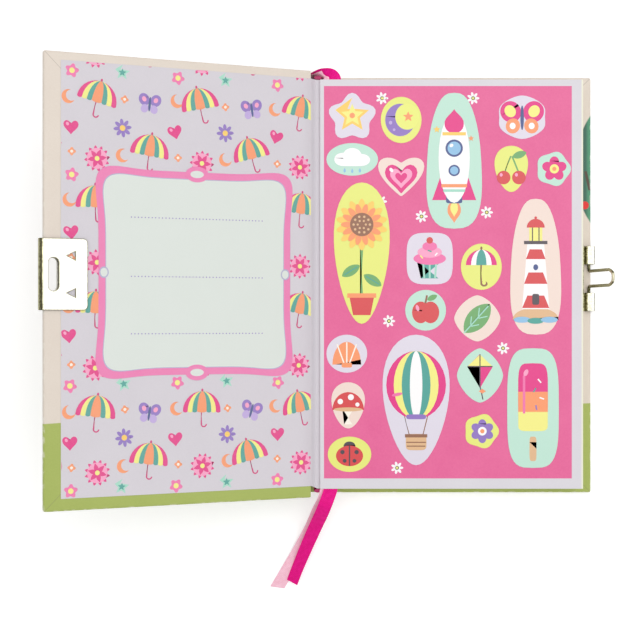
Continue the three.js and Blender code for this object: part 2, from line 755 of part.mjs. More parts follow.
const frontCover = new THREE.Group();
frontCover.position.set(hingeX, 0, frontHingeZ);
frontCover.rotation.y = tilt;
cover(frontCover, true);

const loopPivot = new THREE.Group();
loopPivot.position.set(hingeX + pinX, lockCentreY, backHingeZ + pinZ);
loopPivot.rotation.y = THREE.MathUtils.degToRad(loopLean);
loopPivot.add(named('lock_loop', wireLoopGeometry(), nickel));
diary.add(loopPivot);

for (let number = 0; number < sectionCount; number += 1) {
  diary.add(named(`page_section_${number + 1}`, sectionGeometry(number), pagePaper));
}
diary.add(named('back_flyleaf', leafGeometry(blockBottom, flyleafThickness, pageSpineX), printedPaper));
diary.add(named('front_flyleaf', leafGeometry(flyleafBottom, flyleafThickness, pageSpineX), printedPaper));

const frontFold = endpaperFold(
  new THREE.Vector2(pageSpineX - 2 * glueGap, flyleafTop),
  onOpenCover(jointWidth - 2 * glueGap, innerFace),
  new THREE.Vector2(pageSpineX - 1, flyleafTop),
);
const backFold = endpaperFold(
  new THREE.Vector2(pageSpineX - 2 * glueGap, blockBottom),
  new THREE.Vector2(hingeX + jointWidth - 2 * glueGap, coverThickness - pastedownThickness / 2),
  new THREE.Vector2(pageSpineX - 1, coverThickness - pastedownThickness / 2),
);
diary.add(named('front_endpaper_fold', frontFold, printedPaper));
diary.add(named('back_endpaper_fold', backFold, printedPaper));

diary.add(named('spine_paper', spinePaperGeometry(), creamPaper));
diary.add(named('spine_inlay', spineInlayGeometry(), greyBoard));
diary.add(named('spine_lining', liningGeometry(), liningCloth));
diary.add(named('headband', bandGeometry(1), magentaSatin));
diary.add(named('tailband', bandGeometry(-1), magentaSatin));

diary.add(named('ribbon_magenta', ribbonGeometry(magentaInBook, ribbonSteps), magentaSatin));
diary.add(named('ribbon_pale_pink', ribbonGeometry(paleInBook, ribbonSteps), paleSatin));
diary.add(named('ribbon_magenta_tail', ribbonGeometry(magentaTail, ribbonTailSteps), magentaSatin));
diary.add(named('ribbon_pale_pink_tail', ribbonGeometry(paleTail, ribbonTailSteps), paleSatin));

const sheet = leafGeometry(sheetBottom, sheetThickness, hingeX - sheetGutterOffset);
diary.add(named('sticker_sheet', sheet, pinkPaper));
for (const [name, outline, x, y, width, height, color] of stickers) {
  const bottom = sheetTop + stickerGap;
  const geometry = upright(outlines[outline](width, height), bottom, bottom + stickerThickness);
  geometry.translate(printCentreX + x, printCentreY + y, 0);
  diary.add(named(`sticker_${name}`, geometry, { color, roughness: 0.4, metalness: 0 }));
}

export default diary;
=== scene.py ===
import json
import math
import random

import bmesh
import bpy
from mathutils import Matrix, Vector

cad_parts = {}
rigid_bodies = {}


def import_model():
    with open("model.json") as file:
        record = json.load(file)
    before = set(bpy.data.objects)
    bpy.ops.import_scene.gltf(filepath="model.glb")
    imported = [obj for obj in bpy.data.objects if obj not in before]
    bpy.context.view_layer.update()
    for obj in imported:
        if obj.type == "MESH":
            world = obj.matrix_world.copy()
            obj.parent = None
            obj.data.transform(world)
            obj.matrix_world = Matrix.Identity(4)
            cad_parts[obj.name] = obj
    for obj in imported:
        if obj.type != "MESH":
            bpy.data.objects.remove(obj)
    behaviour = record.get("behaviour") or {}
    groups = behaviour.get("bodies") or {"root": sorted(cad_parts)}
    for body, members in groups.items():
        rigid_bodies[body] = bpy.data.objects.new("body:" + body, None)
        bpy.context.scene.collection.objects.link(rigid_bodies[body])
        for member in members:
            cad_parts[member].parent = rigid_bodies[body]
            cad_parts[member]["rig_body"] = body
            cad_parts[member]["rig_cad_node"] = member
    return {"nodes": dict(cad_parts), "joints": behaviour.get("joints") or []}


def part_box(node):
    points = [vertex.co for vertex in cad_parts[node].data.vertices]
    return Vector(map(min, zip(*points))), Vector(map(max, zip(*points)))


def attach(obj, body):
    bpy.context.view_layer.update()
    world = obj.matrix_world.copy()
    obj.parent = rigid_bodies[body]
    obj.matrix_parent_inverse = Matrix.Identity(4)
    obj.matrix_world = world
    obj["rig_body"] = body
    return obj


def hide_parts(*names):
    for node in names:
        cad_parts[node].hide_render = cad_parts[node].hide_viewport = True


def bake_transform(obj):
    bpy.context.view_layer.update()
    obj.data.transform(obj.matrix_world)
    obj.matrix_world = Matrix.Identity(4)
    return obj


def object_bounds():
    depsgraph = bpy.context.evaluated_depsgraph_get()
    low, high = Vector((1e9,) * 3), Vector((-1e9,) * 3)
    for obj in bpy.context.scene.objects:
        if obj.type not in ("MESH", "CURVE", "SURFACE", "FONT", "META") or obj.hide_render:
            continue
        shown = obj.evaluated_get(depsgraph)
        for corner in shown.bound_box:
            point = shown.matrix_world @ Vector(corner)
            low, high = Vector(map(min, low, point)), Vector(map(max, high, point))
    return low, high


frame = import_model()
cad_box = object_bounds()
MM = 0.001

# Studio: a pale table under soft light, with the camera straight above the open diary.
bpy.ops.object.camera_add(location=(-0.05315, -0.0132, 0.5323), rotation=(0, 0, 0))
camera = bpy.context.object
camera.data.lens = 78.75
camera.data.sensor_width = 36
camera.data.clip_start = 0.01
bpy.context.scene.camera = camera
bpy.context.scene.view_settings.view_transform = "Standard"


def ink(red, green, blue):
    """A colour as a printer's chart gives it, from 0 to 255, in the shader's own scale."""
    shares = [value / 255 for value in (red, green, blue)]
    return tuple(s / 12.92 if s < 0.04 else ((s + 0.055) / 1.055) ** 2.4 for s in shares) + (1,)


class Value:
    """What a shader's socket gives, to be added, compared and mixed in the way of numbers."""

    def __init__(self, socket):
        self.socket = socket

    def to(self, kind, inputs, output=0, **settings):
        """What one more node of the same tree makes of it."""
        return source(self.socket.id_data, kind, output, inputs, **settings)

    def do(self, operation, *others):
        return self.to("Math", dict(enumerate((self, *others))), operation=operation)

    def __add__(self, other):
        return self.do("ADD", other)

    def __sub__(self, other):
        return self.do("SUBTRACT", other)

    def __rsub__(self, other):
        return self.do("MULTIPLY_ADD", -1, other)

    def __mul__(self, other):
        return self.do("MULTIPLY", other)

    def __lt__(self, other):
        return self.do("LESS_THAN", other)

    def __abs__(self):
        return self.do("ABSOLUTE")

    def ranged(self, low, high, new_low=0, new_high=1):
        """Its place between two numbers, as a share or moved to a new range."""
        return self.to("MapRange", {"Value": self, "From Min": low, "From Max": high,
                                    "To Min": new_low, "To Max": new_high})

    def step(self, edge, width):
        """A mask that goes from 0 to 1 as it passes an edge."""
        return self.ranged(edge - width, edge + width)

    def mix(self, under, over):
        """One colour where it is 0, and another where it is 1."""
        return self.to("Mix", {"Factor": self, "A": under, "B": over}, "Result", data_type="RGBA")

    def noise(self, scale, detail):
        return self.to("TexNoise", {"Vector": self, "Scale": scale, "Detail": detail})

    def bump(self, strength, distance):
        return self.to("Bump", {"Height": self, "Strength": strength, "Distance": distance})

    def parts(self):
        """The X, Y and Z of a place."""
        return [Value(part) for part in node(self.socket.id_data, "SeparateXYZ", {0: self}).outputs]


def feed(into, inputs):
    """Sets a node's inputs to numbers or colours, or joins them to what other nodes give."""
    for name, value in inputs.items():
        if isinstance(value, Value):
            into.id_data.links.new(value.socket, into.inputs[name])
        else:
            into.inputs[name].default_value = value


def node(tree, kind, inputs=None, **settings):
    """A new shader node with its settings and inputs."""
    made = tree.nodes.new("ShaderNode" + kind)
    for name, value in settings.items():
        setattr(made, name, value)
    feed(made, inputs or {})
    return made


def source(tree, kind, output=0, inputs=None, **settings):
    """What a new shader node gives."""
    return Value(node(tree, kind, inputs, **settings).outputs[output])


def finish(name, inputs):
    """A new material, its tree and its surface shader."""
    material = bpy.data.materials.new(name)
    material.use_nodes = True
    shader = material.node_tree.nodes["Principled BSDF"]
    feed(shader, inputs)
    return material, material.node_tree, shader


def seen_by_eye(tree):
    """1 for what the camera sees, mirrored or through glass too, and 0 for what only lights things."""
    path = node(tree, "LightPath").outputs
    direct, glossy, clear = (Value(path[f"Is {way} Ray"]) for way in ("Camera", "Glossy", "Transmission"))
    return direct.do("MAXIMUM", glossy).do("MAXIMUM", clear)


white, table_glow = (1, 1, 1, 1), 0.38
table_top, tree, shader = finish("table_top", {"Base Color": (0.82, 0.82, 0.82, 1), "Roughness": 0.9,
                                               "Emission Color": white})
feed(shader, {"Emission Strength": seen_by_eye(tree) * table_glow})
from_below, open_air = source(tree, "NewGeometry", "Backfacing"), source(tree, "BsdfTransparent")
feed(tree.nodes["Material Output"], {"Surface": from_below.to("MixShader", {
    0: from_below, 1: Value(shader.outputs[0]), 2: open_air})})
bpy.ops.mesh.primitive_plane_add(size=6, location=(0, 0, cad_box[0][2] - 0.02 * MM))
floor = bpy.context.object
floor.name = "table"
floor.data.materials.append(table_top)

sky = bpy.data.worlds.new("studio")
bpy.context.scene.world = sky
sky.use_nodes = True
tree = sky.node_tree
shade = node(tree, "ValToRGB", {0: source(tree, "TexCoord", "Generated").parts()[2]})
shade.color_ramp.elements[0].color = (0.3, 0.3, 0.31, 1)
shade.color_ramp.elements[1].position = 0.55
shade.color_ramp.elements[1].color = (0.74, 0.74, 0.74, 1)
feed(tree.nodes["Background"], {"Color": seen_by_eye(tree).mix(Value(shade.outputs[0]), white)})

lamp_size, lit_place = 0.8, Vector((-0.05, 0, 0))
for name, place, power in (("key", (0.12, 0.32, 1.05), 3.5), ("fill", (0.55, -0.25, 0.8), 0.9)):
    bpy.ops.object.light_add(type="AREA", location=place)
    lamp = bpy.context.object
    lamp.name = name
    lamp.data.size = lamp_size
    lamp.data.energy = power
    lamp.rotation_euler = (lit_place - Vector(place)).to_track_quat("-Z", "Y").to_euler()


# Boards: two panels of grey binder's board, 1.8 mm thick, die-cut from pressed waste paper.
# The front one is pierced for the lock's slot, so its cut wall shows there. The cut walls are painted
# near-black as shade.
def group(name, inputs, outputs):
    """A shader node group: its tree, the values that it is given, and its last node."""
    tree = bpy.data.node_groups.new(name, "ShaderNodeTree")
    for way, sockets in (("INPUT", inputs), ("OUTPUT", outputs)):
        for socket, kind in sockets.items():
            tree.interface.new_socket(socket, in_out=way, socket_type="NodeSocket" + kind)
    start, end = tree.nodes.new("NodeGroupInput"), tree.nodes.new("NodeGroupOutput")
    return tree, {socket: Value(start.outputs[socket]) for socket in inputs}, end


fibre, given, end = group("paper_fibre", {"Place": "Vector", "Scale": "Float", "Relief": "Float"},
                          {"Mottle": "Float", "Normal": "Vector"})
fine, coarse = given["Place"].noise(given["Scale"], 6), given["Place"].noise(given["Scale"] * 0.06, 3)
feed(end, {"Mottle": (fine + coarse) * 0.5, "Normal": fine.bump(given["Relief"], 0.08 * MM)})


def fibres(tree, shader, scale, relief):
    """Gives a shader the relief of paper's fibres, and returns their mottle for its colour."""
    place = source(tree, "TexCoord", "Object")
    stock = node(tree, "Group", {"Place": place, "Scale": scale, "Relief": relief}, node_tree=fibre)
    feed(shader, {"Normal": Value(stock.outputs["Normal"])})
    return Value(stock.outputs["Mottle"])


def paper(name, surface, darker, colour, scale, relief):
    """Paper of one surface, mottled between two colours."""
    material, tree, shader = finish(name, surface)
    feed(shader, {"Base Color": fibres(tree, shader, scale, relief).mix(darker, colour)})
    return material


def coat(obj, material):
    """Gives a piece one material."""
    obj.data.materials.clear()
    obj.data.materials.append(material)


def give(name, material):
    """Puts a material on a CAD node that keeps its own shape."""
    coat(frame["nodes"][name], material)


greyboard, tree, shader = finish("greyboard", {"Roughness": 0.9})
grey = fibres(tree, shader, 900, 0.6).mix(ink(120, 112, 100), ink(158, 150, 138))
facing, cover_up = source(tree, "TexCoord", "Normal"), (0.402, 0, 0.916)
level = facing.to("VectorMath", {0: facing, 1: cover_up}, "Value", operation="DOT_PRODUCT")
# Painted shade: faces turned away from the open front cover's face, such as the boards' cut walls, are
# coloured near-black.
feed(shader, {"Base Color": level.ranged(0.62, 0.58).mix(grey, ink(40, 36, 28))})
for name in ("back_board", "front_board"):
    give(name, greyboard)


# Cover papers: printed and matt-laminated paper, wrapped round each board and turned in 15 mm,
# with its corners cut to a mitre. A bush and the ground of the outside picture run over the edges.
back_hinge = Vector(frame["joints"][0]["pos_m"])
front_hinge = Vector(frame["joints"][1]["pos_m"])
back_place = Matrix.Translation(back_hinge)
front_rise = math.radians(23.7)
front_place = Matrix.Translation(front_hinge) @ Matrix.Rotation(front_rise, 4, "Y")
turn_in, paper_skin, edge_round = 15 * MM, 0.25 * MM, 0.7 * MM
wrap_low, wrap_high = (corner - back_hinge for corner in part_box("back_cover_paper"))


def choose(*pieces):
    """Selects some pieces and nothing else, with the first of them active."""
    bpy.ops.object.select_all(action="DESELECT")
    for piece in reversed(pieces):
        piece.select_set(True)
        bpy.context.view_layer.objects.active = piece


def added(operator, **settings):
    """A new basic form, with nothing else selected."""
    choose()
    operator(**settings)
    return bpy.context.object


def edit(obj):
    """Opens a piece for editing, with all of it selected."""
    choose(obj)
    bpy.ops.object.mode_set(mode="EDIT")
    bpy.ops.mesh.select_all(action="SELECT")


def close():
    bpy.ops.object.mode_set(mode="OBJECT")


def pick(obj, kind, wanted):
    """Selects the faces or edges that a test picks out, and nothing else."""
    bpy.ops.mesh.select_mode(type=kind)
    bpy.ops.mesh.select_all(action="DESELECT")
    mesh = bmesh.from_edit_mesh(obj.data)
    for part in mesh.faces if kind == "FACE" else mesh.edges:
        if wanted(part):
            part.select_set(True)
    mesh.select_flush_mode()


def alter(obj, kind, **settings):
    """Adds a modifier to a piece and applies it."""
    choose(obj)
    modifier = obj.modifiers.new(kind.lower(), kind)
    for name, value in settings.items():
        setattr(modifier, name, value)
    bpy.ops.object.modifier_apply(modifier=modifier.name)


def soften(obj, degrees=35):
    """Shades a piece smooth, apart from its sharp edges."""
    choose(obj)
    bpy.ops.object.shade_smooth_by_angle(angle=math.radians(degrees))


def named(obj, name, material, stands_for, slot):
    """Names a finished piece, gives it its material, and hides the CAD nodes that it stands for."""
    obj.name = obj.data.name = name
    coat(obj, material)
    if stands_for:
        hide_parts(*stands_for)


def fixed(obj, name, body, material, stands_for, slot):
    """A finished piece that moves with one body."""
    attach(obj, body)
    named(obj, name, material, stands_for, slot)


def distance(x, y):
    return (x * x + y * y).do("SQRT")


cover_print, tree, shader = finish(
    "cover_print", {"Roughness": 0.5, "Coat Weight": 0.15, "Coat Roughness": 0.35})
mottle, place = fibres(tree, shader, 1600, 0.2), source(tree, "TexCoord", "Object")
across, along, _ = source(tree, "UVMap", uv_map="panel").parts()
hills = (across * 42).do("SINE") * -0.0021
meadow = 1 - (along - hills).step(-0.0466, 0.00012)
crown = distance((across - 0.11) * (1 / 0.0135), (along - 0.0439) * (1 / 0.0249))
bush = 1 - (crown + (place.noise(160, 1) - 0.5) * 0.012).step(1, 0.012)
leaves = across.step(0.1008, 0.0006).mix(ink(42, 96, 78), ink(72, 146, 110))
cream = mottle.mix(ink(219, 206, 192), ink(231, 220, 208))
grass = mottle.mix(ink(157, 172, 80), ink(174, 188, 97))
picture = bush.mix(meadow.mix(cream, grass), leaves)
twig = (abs(across * 4.5 + along - 0.49415) < 0.0024) * (abs(along - 0.0395) < 0.0036)
picture = twig.mix(picture, ink(72, 58, 40))
picture = (distance(across - 0.1, along - 0.0302) < 0.0015).mix(picture, ink(226, 22, 18))
to_fore, to_end = wrap_high.x - abs(across), wrap_high.y - abs(along)
turned_in = source(tree, "Attribute", "Fac", attribute_name="turn_in")
mitre = (1 - abs(to_fore - to_end).step(0.12 * MM, 0.06 * MM)) * turned_in
picture = (mitre * 0.45).mix(picture, ink(118, 108, 92))
rubbed = (1 - to_fore.do("MINIMUM", to_end).step(0.35 * MM, 0.25 * MM)) * place.noise(330, 4).step(0.56, 0.05)
feed(shader, {"Base Color": (rubbed * 0.55).mix(picture, ink(240, 234, 222))})
slot_inset, slot_y, slot_radius, slot_half_length = 3.3 * MM, 2.4 * MM, 2.1 * MM, 3.9 * MM


def cover_paper(name, place, body, mirrored):
    """One wrapped cover, made flat in its own place from its hinge, and then put where it lies."""
    obj = added(bpy.ops.mesh.primitive_cube_add, size=1)
    obj.data.transform(Matrix.Translation((wrap_low + wrap_high) / 2)
                       @ Matrix.Diagonal((*(wrap_high - wrap_low), 1)))
    edit(obj)
    pick(obj, "FACE", lambda face: face.normal.x < -0.9)
    bpy.ops.mesh.delete(type="FACE")
    pick(obj, "FACE", lambda face: face.normal.z > 0.9)
    bpy.ops.mesh.inset(thickness=turn_in, use_boundary=False)
    bpy.ops.mesh.delete(type="FACE")
    pick(obj, "EDGE", lambda edge: len(edge.link_faces) == 2 and edge.calc_face_angle() > 1)
    bpy.ops.mesh.bevel(offset=edge_round, segments=3)
    mesh = bmesh.from_edit_mesh(obj.data)
    panel = mesh.loops.layers.uv.verify()
    turned = mesh.loops.layers.float.new("turn_in")
    for face in mesh.faces:
        for corner in face.loops:
            corner[turned] = 1 if face.normal.z > 0.9 else 0
            corner[panel].uv = (-corner.vert.co.x if mirrored else corner.vert.co.x, corner.vert.co.y)
    close()
    obj.data.uv_layers[0].name = "panel"
    alter(obj, "SOLIDIFY", thickness=paper_skin, offset=-1)
    if mirrored:
        obj.data.transform(Matrix.Scale(-1, 4, (1, 0, 0)))
        obj.data.flip_normals()
        cutter = added(bpy.ops.mesh.primitive_cylinder_add, vertices=32, radius=slot_radius, depth=0.02)
        for vertex in cutter.data.vertices:
            vertex.co.y += math.copysign(slot_half_length, vertex.co.y)
        cutter.data.transform(Matrix.Translation((slot_inset - wrap_high.x, slot_y, 0)))
        alter(obj, "BOOLEAN", operation="DIFFERENCE", object=cutter, solver="EXACT")
        bpy.data.objects.remove(cutter)
    obj.data.transform(place)
    soften(obj)
    fixed(obj, name, body, cover_print, [name.replace("wrap", "cover_paper")], "cover_paper")


cover_paper("back_wrap", back_place, "back_cover", False)
cover_paper("front_wrap", front_place, "front_cover", True)


# Lock plates: nickel-plated steel strip, blanked, folded round the fore edges and pressed down.
# The hasp has a slot and two lanced prongs; the loop's plate is rolled into two knuckles.
brushed, given, end = group("plating_marks", {"Place": "Vector", "Relief": "Float"},
                            {"Haze": "Float", "Normal": "Vector"})
drawn_marks = given["Place"].to("Mapping", {"Vector": given["Place"], "Scale": (1, 26, 1)})
haze = drawn_marks.noise(420, 4) * given["Place"].noise(210, 3)
feed(end, {"Haze": haze, "Normal": haze.bump(given["Relief"], 0.03 * MM)})


def dimmed(colour, share):
    return tuple(c * share for c in colour[:3]) + (1,)


def plating(name, colour, dull):
    """Bright plating, hazed by handling. Its bend attribute paints shade and dark reflections on it: mottled
    olive painted reflection, and past a half painted black shade.
    """
    material, tree, shader = finish(name, {"Metallic": 1})
    place, bend = source(tree, "TexCoord", "Object"), source(tree, "Attribute", "Fac", attribute_name="bend")
    surface = node(tree, "Group", {"Place": place, "Relief": 0.15}, node_tree=brushed)
    haze = Value(surface.outputs["Haze"])
    painted_reflection = place.noise(1500, 2).ranged(0.42, 0.56).mix(ink(112, 108, 64), ink(186, 182, 140))
    with_painted_reflection = bend.ranged(0, 0.5).mix(haze.mix(colour, dimmed(colour, 0.86)), painted_reflection)
    feed(shader, {"Roughness": haze.ranged(0, 1, dull, dull + 0.25) + bend * 0.3,
                  "Base Color": bend.ranged(0.5, 1).mix(with_painted_reflection, ink(34, 32, 20)),
                  "Normal": Value(surface.outputs["Normal"])})
    return material


def mark_painted_shade(obj, place, shown):
    """Writes how much painted shade and reflection the plating gets: what a test says of a face's centre,
    direction and selection.
    """
    layer = obj.data.attributes.new("bend", "FLOAT", "CORNER")
    back_to_place = place.inverted()
    for face in obj.data.polygons:
        at, way = back_to_place @ face.center / MM, back_to_place.to_3x3() @ face.normal
        for corner in face.loop_indices:
            layer.data[corner].value = shown(at, way, face.select)


def copy_of(obj, move=Matrix()):
    """A copy of a piece with a mesh of its own, moved in its mesh."""
    copied = obj.copy()
    copied.data = obj.data.copy()
    copied.data.transform(move)
    bpy.context.scene.collection.objects.link(copied)
    return copied


def merged_copy(source_name):
    """A copy of a CAD node's form with its loose triangles joined up."""
    obj = copy_of(frame["nodes"][source_name])
    obj.parent = None
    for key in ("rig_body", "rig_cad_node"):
        if key in obj:
            del obj[key]
    edit(obj)
    bpy.ops.mesh.remove_doubles(threshold=0.004 * MM)
    bpy.ops.mesh.tris_convert_to_quads(face_threshold=0.02, shape_threshold=3)
    bpy.ops.mesh.dissolve_limited(angle_limit=0.01)
    close()
    return obj


def hasp_painted_shade(at, way, inside):
    """Painted reflection and shade: mottled olive down the fold's wall, painted black shade in its bends and
    between its halves, an olive painted reflection along sheared edges.
    """
    if abs(way.z) > 0.97:
        between = (way.z > 0) == (at.z < -2.1)
        return (1 if between else 0) if inside else (0 if between else 0.42)
    if way.x > -0.4:
        return 1
    return 0.5 if way.z < 0.4 else 0.8 if way.z < 0.8 else 1


def knuckle_painted_shade(at, way, inside):
    """Painted reflection: mottled olive on the knuckles' left halves and outermost line, plain bright plating
    between, olive along sheared edges.
    """
    if abs(way.y) > 0.5 or way.x > 0.6:
        return 0.65
    if way.z > 0:
        return 0.58 if at.x < 100.4 else 0.5 if at.x < 101.2 else 0.25 if at.x < 101.9 else 0
    return 0.42 if abs(way.z) > 0.97 and not inside else 0


# The plates' flat faces get an inset rim, which carries a painted olive outline standing for dark reflections
# along their edges.
nickel, edge_bevel, painted_outline_rim = plating("nickel_plate", ink(238, 236, 228), 0.2), 0.08 * MM, 0.16 * MM
for side, name, place, painted_reflection in (("front", "front_hasp", front_place, hasp_painted_shade),
                                 ("back", "back_knuckles", back_place, knuckle_painted_shade)):
    plate = merged_copy(f"{side}_lock_plate")
    alter(plate, "BEVEL", width=edge_bevel, segments=2, limit_method="ANGLE", angle_limit=0.7)
    level = place.to_3x3() @ Vector((0, 0, 1))
    edit(plate)
    pick(plate, "FACE", lambda face: abs(face.normal.dot(level)) > 0.99)
    bpy.ops.mesh.inset(thickness=painted_outline_rim)
    close()
    mark_painted_shade(plate, place, painted_reflection)
    soften(plate)
    fixed(plate, name, f"{side}_cover", nickel, [f"{side}_lock_plate"], "nickel_plate")


# Wire loop: 1.2 mm steel wire, bent to a narrow U, nickel-plated, its feet caught in the knuckles.
def wire_painted_shade(at, way, inside):
    """Painted shade and reflection: dull along the wire, darker on its sides, black at the bends by the
    knuckles, plain bright plating at the tip.
    """
    if at.z < 24.8:
        return 0.8
    return (0.6 if abs(way.y) > 0.82 else 0.12) if at.z < 43.2 else (0.8 if abs(way.y) > 0.6 else 0)


wire_metal = plating("nickel_wire", ink(204, 198, 170), 0.24)
loop, loop_lean = merged_copy("lock_loop"), math.radians(13)
mark_painted_shade(loop, back_place @ Matrix.Rotation(loop_lean, 4, "Y"), wire_painted_shade)
soften(loop, 50)
fixed(loop, "wire_loop", "lock_loop", wire_metal, ["lock_loop"], "nickel_wire")


# Page sections: eight gatherings of six folded sheets of cream writing paper, sewn through the fold
# and trimmed together at head, tail and fore edge.
sheets_a_section, sheet_thickness = 6, 0.119 * MM
page_stock = paper("page_paper", {"Roughness": 0.85}, ink(238, 232, 208), ink(250, 246, 228), 1500, 0.2)


def walk(points):
    """How far along a line each of its points is."""
    walked = [0]
    for before, after in zip(points, points[1:]):
        walked.append(walked[-1] + (after - before).length)
    return walked


def laid(name, rows, maps, map_name, thickness):
    """Sheet material through rows of points, each with its place on the sheet's flat map."""
    spans = len(rows[0]) - 1, len(rows) - 1
    obj = added(bpy.ops.mesh.primitive_grid_add, x_subdivisions=spans[0], y_subdivisions=spans[1])
    obj.name = obj.data.name = name
    for vertex, point in zip(obj.data.vertices, sum(rows, [])):
        vertex.co = point
    layer, flat = obj.data.uv_layers[0], sum(maps, [])
    layer.name = map_name
    for corner in obj.data.loops:
        layer.data[corner.index].uv = flat[corner.vertex_index]
    alter(obj, "SOLIDIFY", thickness=thickness, offset=0)
    return obj


def drawn_out(name, line, thickness):
    """Sheet material drawn out along a line of (x, z, lower y, upper y), with its length in the UV map."""
    walked = walk([Vector(station[:2]) for station in line])
    rows = [[(x, y, z) for y in ends] for x, z, *ends in line]
    maps = [[(far, y) for y in station[2:]] for far, station in zip(walked, line)]
    return laid(name, rows, maps, "panel", thickness)


def joined(pieces):
    """One piece out of several, with the name of the first."""
    choose(*pieces)
    bpy.ops.object.join()
    return pieces[0]


def gathered(name, low, high):
    """Folded sheets, each inside the last, drawn from fore edge to fore edge round the fold."""
    pitch = (high.z - low.z) / (2 * sheets_a_section)
    centre, middle = low.x + (sheets_a_section - 0.4) * pitch, (low.z + high.z) / 2
    folded = []
    for number in range(sheets_a_section):
        radius = (number + 0.5) * pitch
        fold = [(centre - radius * math.cos(a), middle + radius * math.sin(a))
                for a in (math.pi * (step / 6 - 0.5) for step in range(7))]
        line = ((high.x, middle - radius), *fold, (high.x, middle + radius))
        folded.append(drawn_out(f"{name}_{number}", [(*at, low.y, high.y) for at in line], sheet_thickness))
    return joined(folded)


first_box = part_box("page_section_1")
gatherings = [gathered("page_section", *first_box)]
for number in range(2, 9):
    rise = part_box(f"page_section_{number}")[0].z - first_box[0].z
    gatherings.append(copy_of(gatherings[0], Matrix.Translation((0, 0, rise))))
for number, section in enumerate(gatherings, 1):
    fixed(section, f"gathering_{number}", "book_block", page_stock, [f"page_section_{number}"], "page_paper")


# Spine lining and bands: open-weave cotton glued over the folds, and at head and tail a dark silk band,
# whose threads are wound side by side round a cord and sewn to a tape.
weave, given, end = group("thread_weave", {"Place": "Vector", "Across": "Float", "Along": "Float"},
                          {"Height": "Float", "Tone": "Float"})
across, along, _ = given["Place"].parts()
crossed = (across * given["Across"]).do("SINE") * (along * given["Along"]).do("SINE")
feed(end, {"Height": crossed.ranged(-1, 1), "Tone": given["Place"].noise(700, 4).ranged(0.36, 0.64)})


def woven(name, surface, darker, colour, threads, map_name=None):
    """Woven thread: a weave of so many threads a metre, across and along its map, or in space without one."""
    material, tree, shader = finish(name, surface)
    place = source(tree, "UVMap", uv_map=map_name) if map_name else source(tree, "TexCoord", "Object")
    cloth = node(tree, "Group", {"Place": place, "Across": threads[0], "Along": threads[1]}, node_tree=weave)
    height, tone = (Value(cloth.outputs[name]) for name in ("Height", "Tone"))
    feed(shader, {"Base Color": ((height + tone) * 0.5).mix(darker, colour),
                  "Normal": height.bump(0.35, 0.06 * MM)})
    return material


give("spine_lining", woven("lining_cloth", {"Roughness": 0.9, "Sheen Weight": 0.3}, ink(196, 190, 176),
                           ink(236, 232, 222), (5200, 5200)))
band_silk = paper("band_silk", {"Roughness": 0.45}, ink(146, 4, 74), ink(198, 10, 104), 2600, 0.4)


def sewn_band(name, low, high):
    """Turns of silk side by side round a cord, each a ring pressed oval, down the height of the leaves."""
    count, thread, reach_x, reach_y, tape_thickness = 22, 0.27 * MM, 1.5 * MM, 0.8 * MM, 0.3 * MM
    height = high.z - low.z
    pitch = height / count
    outer, inner, way = (high.y, low.y, 1) if low.y > 0 else (low.y, high.y, -1)
    middle = Vector((high.x - reach_x, outer - way * reach_y, (low.z + high.z) / 2))
    pressed = Matrix.Diagonal(((reach_x - thread / 4) / 1.2, (reach_y - thread / 4) / 1.2, pitch / 0.5, 1))
    pieces = []
    for number in range(count):
        rise = Vector((0, 0, (number + 0.5) * pitch - height / 2))
        pieces.append(added(bpy.ops.mesh.primitive_torus_add, major_radius=1, minor_radius=0.25,
                            major_segments=18, minor_segments=6))
        pieces[-1].data.transform(Matrix.Translation(middle + rise) @ pressed)
    core = added(bpy.ops.mesh.primitive_cylinder_add, vertices=18, radius=1, depth=height - 0.1 * MM)
    core.data.transform(Matrix.Translation(middle) @ Matrix.Diagonal((1.1 * MM, 0.5 * MM, 1, 1)))
    tape = [(low.x + tape_thickness / 2, z, *sorted((inner, inner + way * 8 * MM)))
            for z in (low.z, middle.z, high.z)]
    band = joined([*pieces, core, drawn_out("tape", tape, tape_thickness)])
    soften(band, 60)
    fixed(band, f"{name}_silk", "book_block", band_silk, [name], "magenta_satin")


for name in ("headband", "tailband"):
    sewn_band(name, *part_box(name))


# Ribbon markers: two 5 mm satin ribbons, glued inside the spine at the head, laid over the pages down
# the gutter, and hanging out at the tail, where the pale one is cut on the slant.
hinge_x, page_end = back_hinge.x / MM, 75.3
magenta_level, pale_level = 16.62, 16.34
ribbon_width, ribbon_steps, ribbon_columns, slanted_steps = 4.98, 260, 8, 12
tails_bend = ((-0.0478, -0.0745, 0.0166), (-0.0478, -0.0785, 0.0166))


def route(level, end, stations):
    """A ribbon's stations: how far from the hinges and past the leaves, its share of the level, and the way
    of its width. It lies flat at its level where the last two are left out."""
    stations = [station if station[2:] else (*station, 1, -1, 0, 0) for station in stations]
    return [(hinge_x + across, end * (page_end + past), share * level, *width)
            for across, past, share, *width in stations]


magenta_way = route(magenta_level, 1, [
    (-3.71, -6.3, .517, 0, 0, -1), (-3.71, -1.8, .517, 0, 0, -1), (-3.1, 1, .6, .15, -.3, -.95),
    (-.7, 1.9, .835, .45, -.62, -.62), (1.6, 2.1, .97, .15, -.75, -.62), (3.7, 1.6, 1.01, -.7, -.5, -.35),
    (4.85, .5, 1.012, -.96, -.25, -.05), (5.09, -.9), (5.09, -5.3), (5.09, -35.3), (5.09, -75.3),
]) + route(magenta_level, -1, [
    (5.09, -35.3), (4.2, -5.8), (3.8, -.3, 1, -.99, .1, 0), (3.3, 1.5, 1, -.97, .24, 0),
    (2.5, 3.8, 1.006, -.95, .33, 0), (1.5, 6.4, .992, -.92, .39, 0),
    (.35, 9.5, .86, -.92, .39, 0), (-1.7, 14.5, .57, -.9, .4, -.12), (-5.15, 22.9, .277, -.84, .38, -.34),
    (-8.5, 31.2, .132, -.76, .35, -.5), (-10.85, 37.3, .117, -.75, .33, -.52),
])
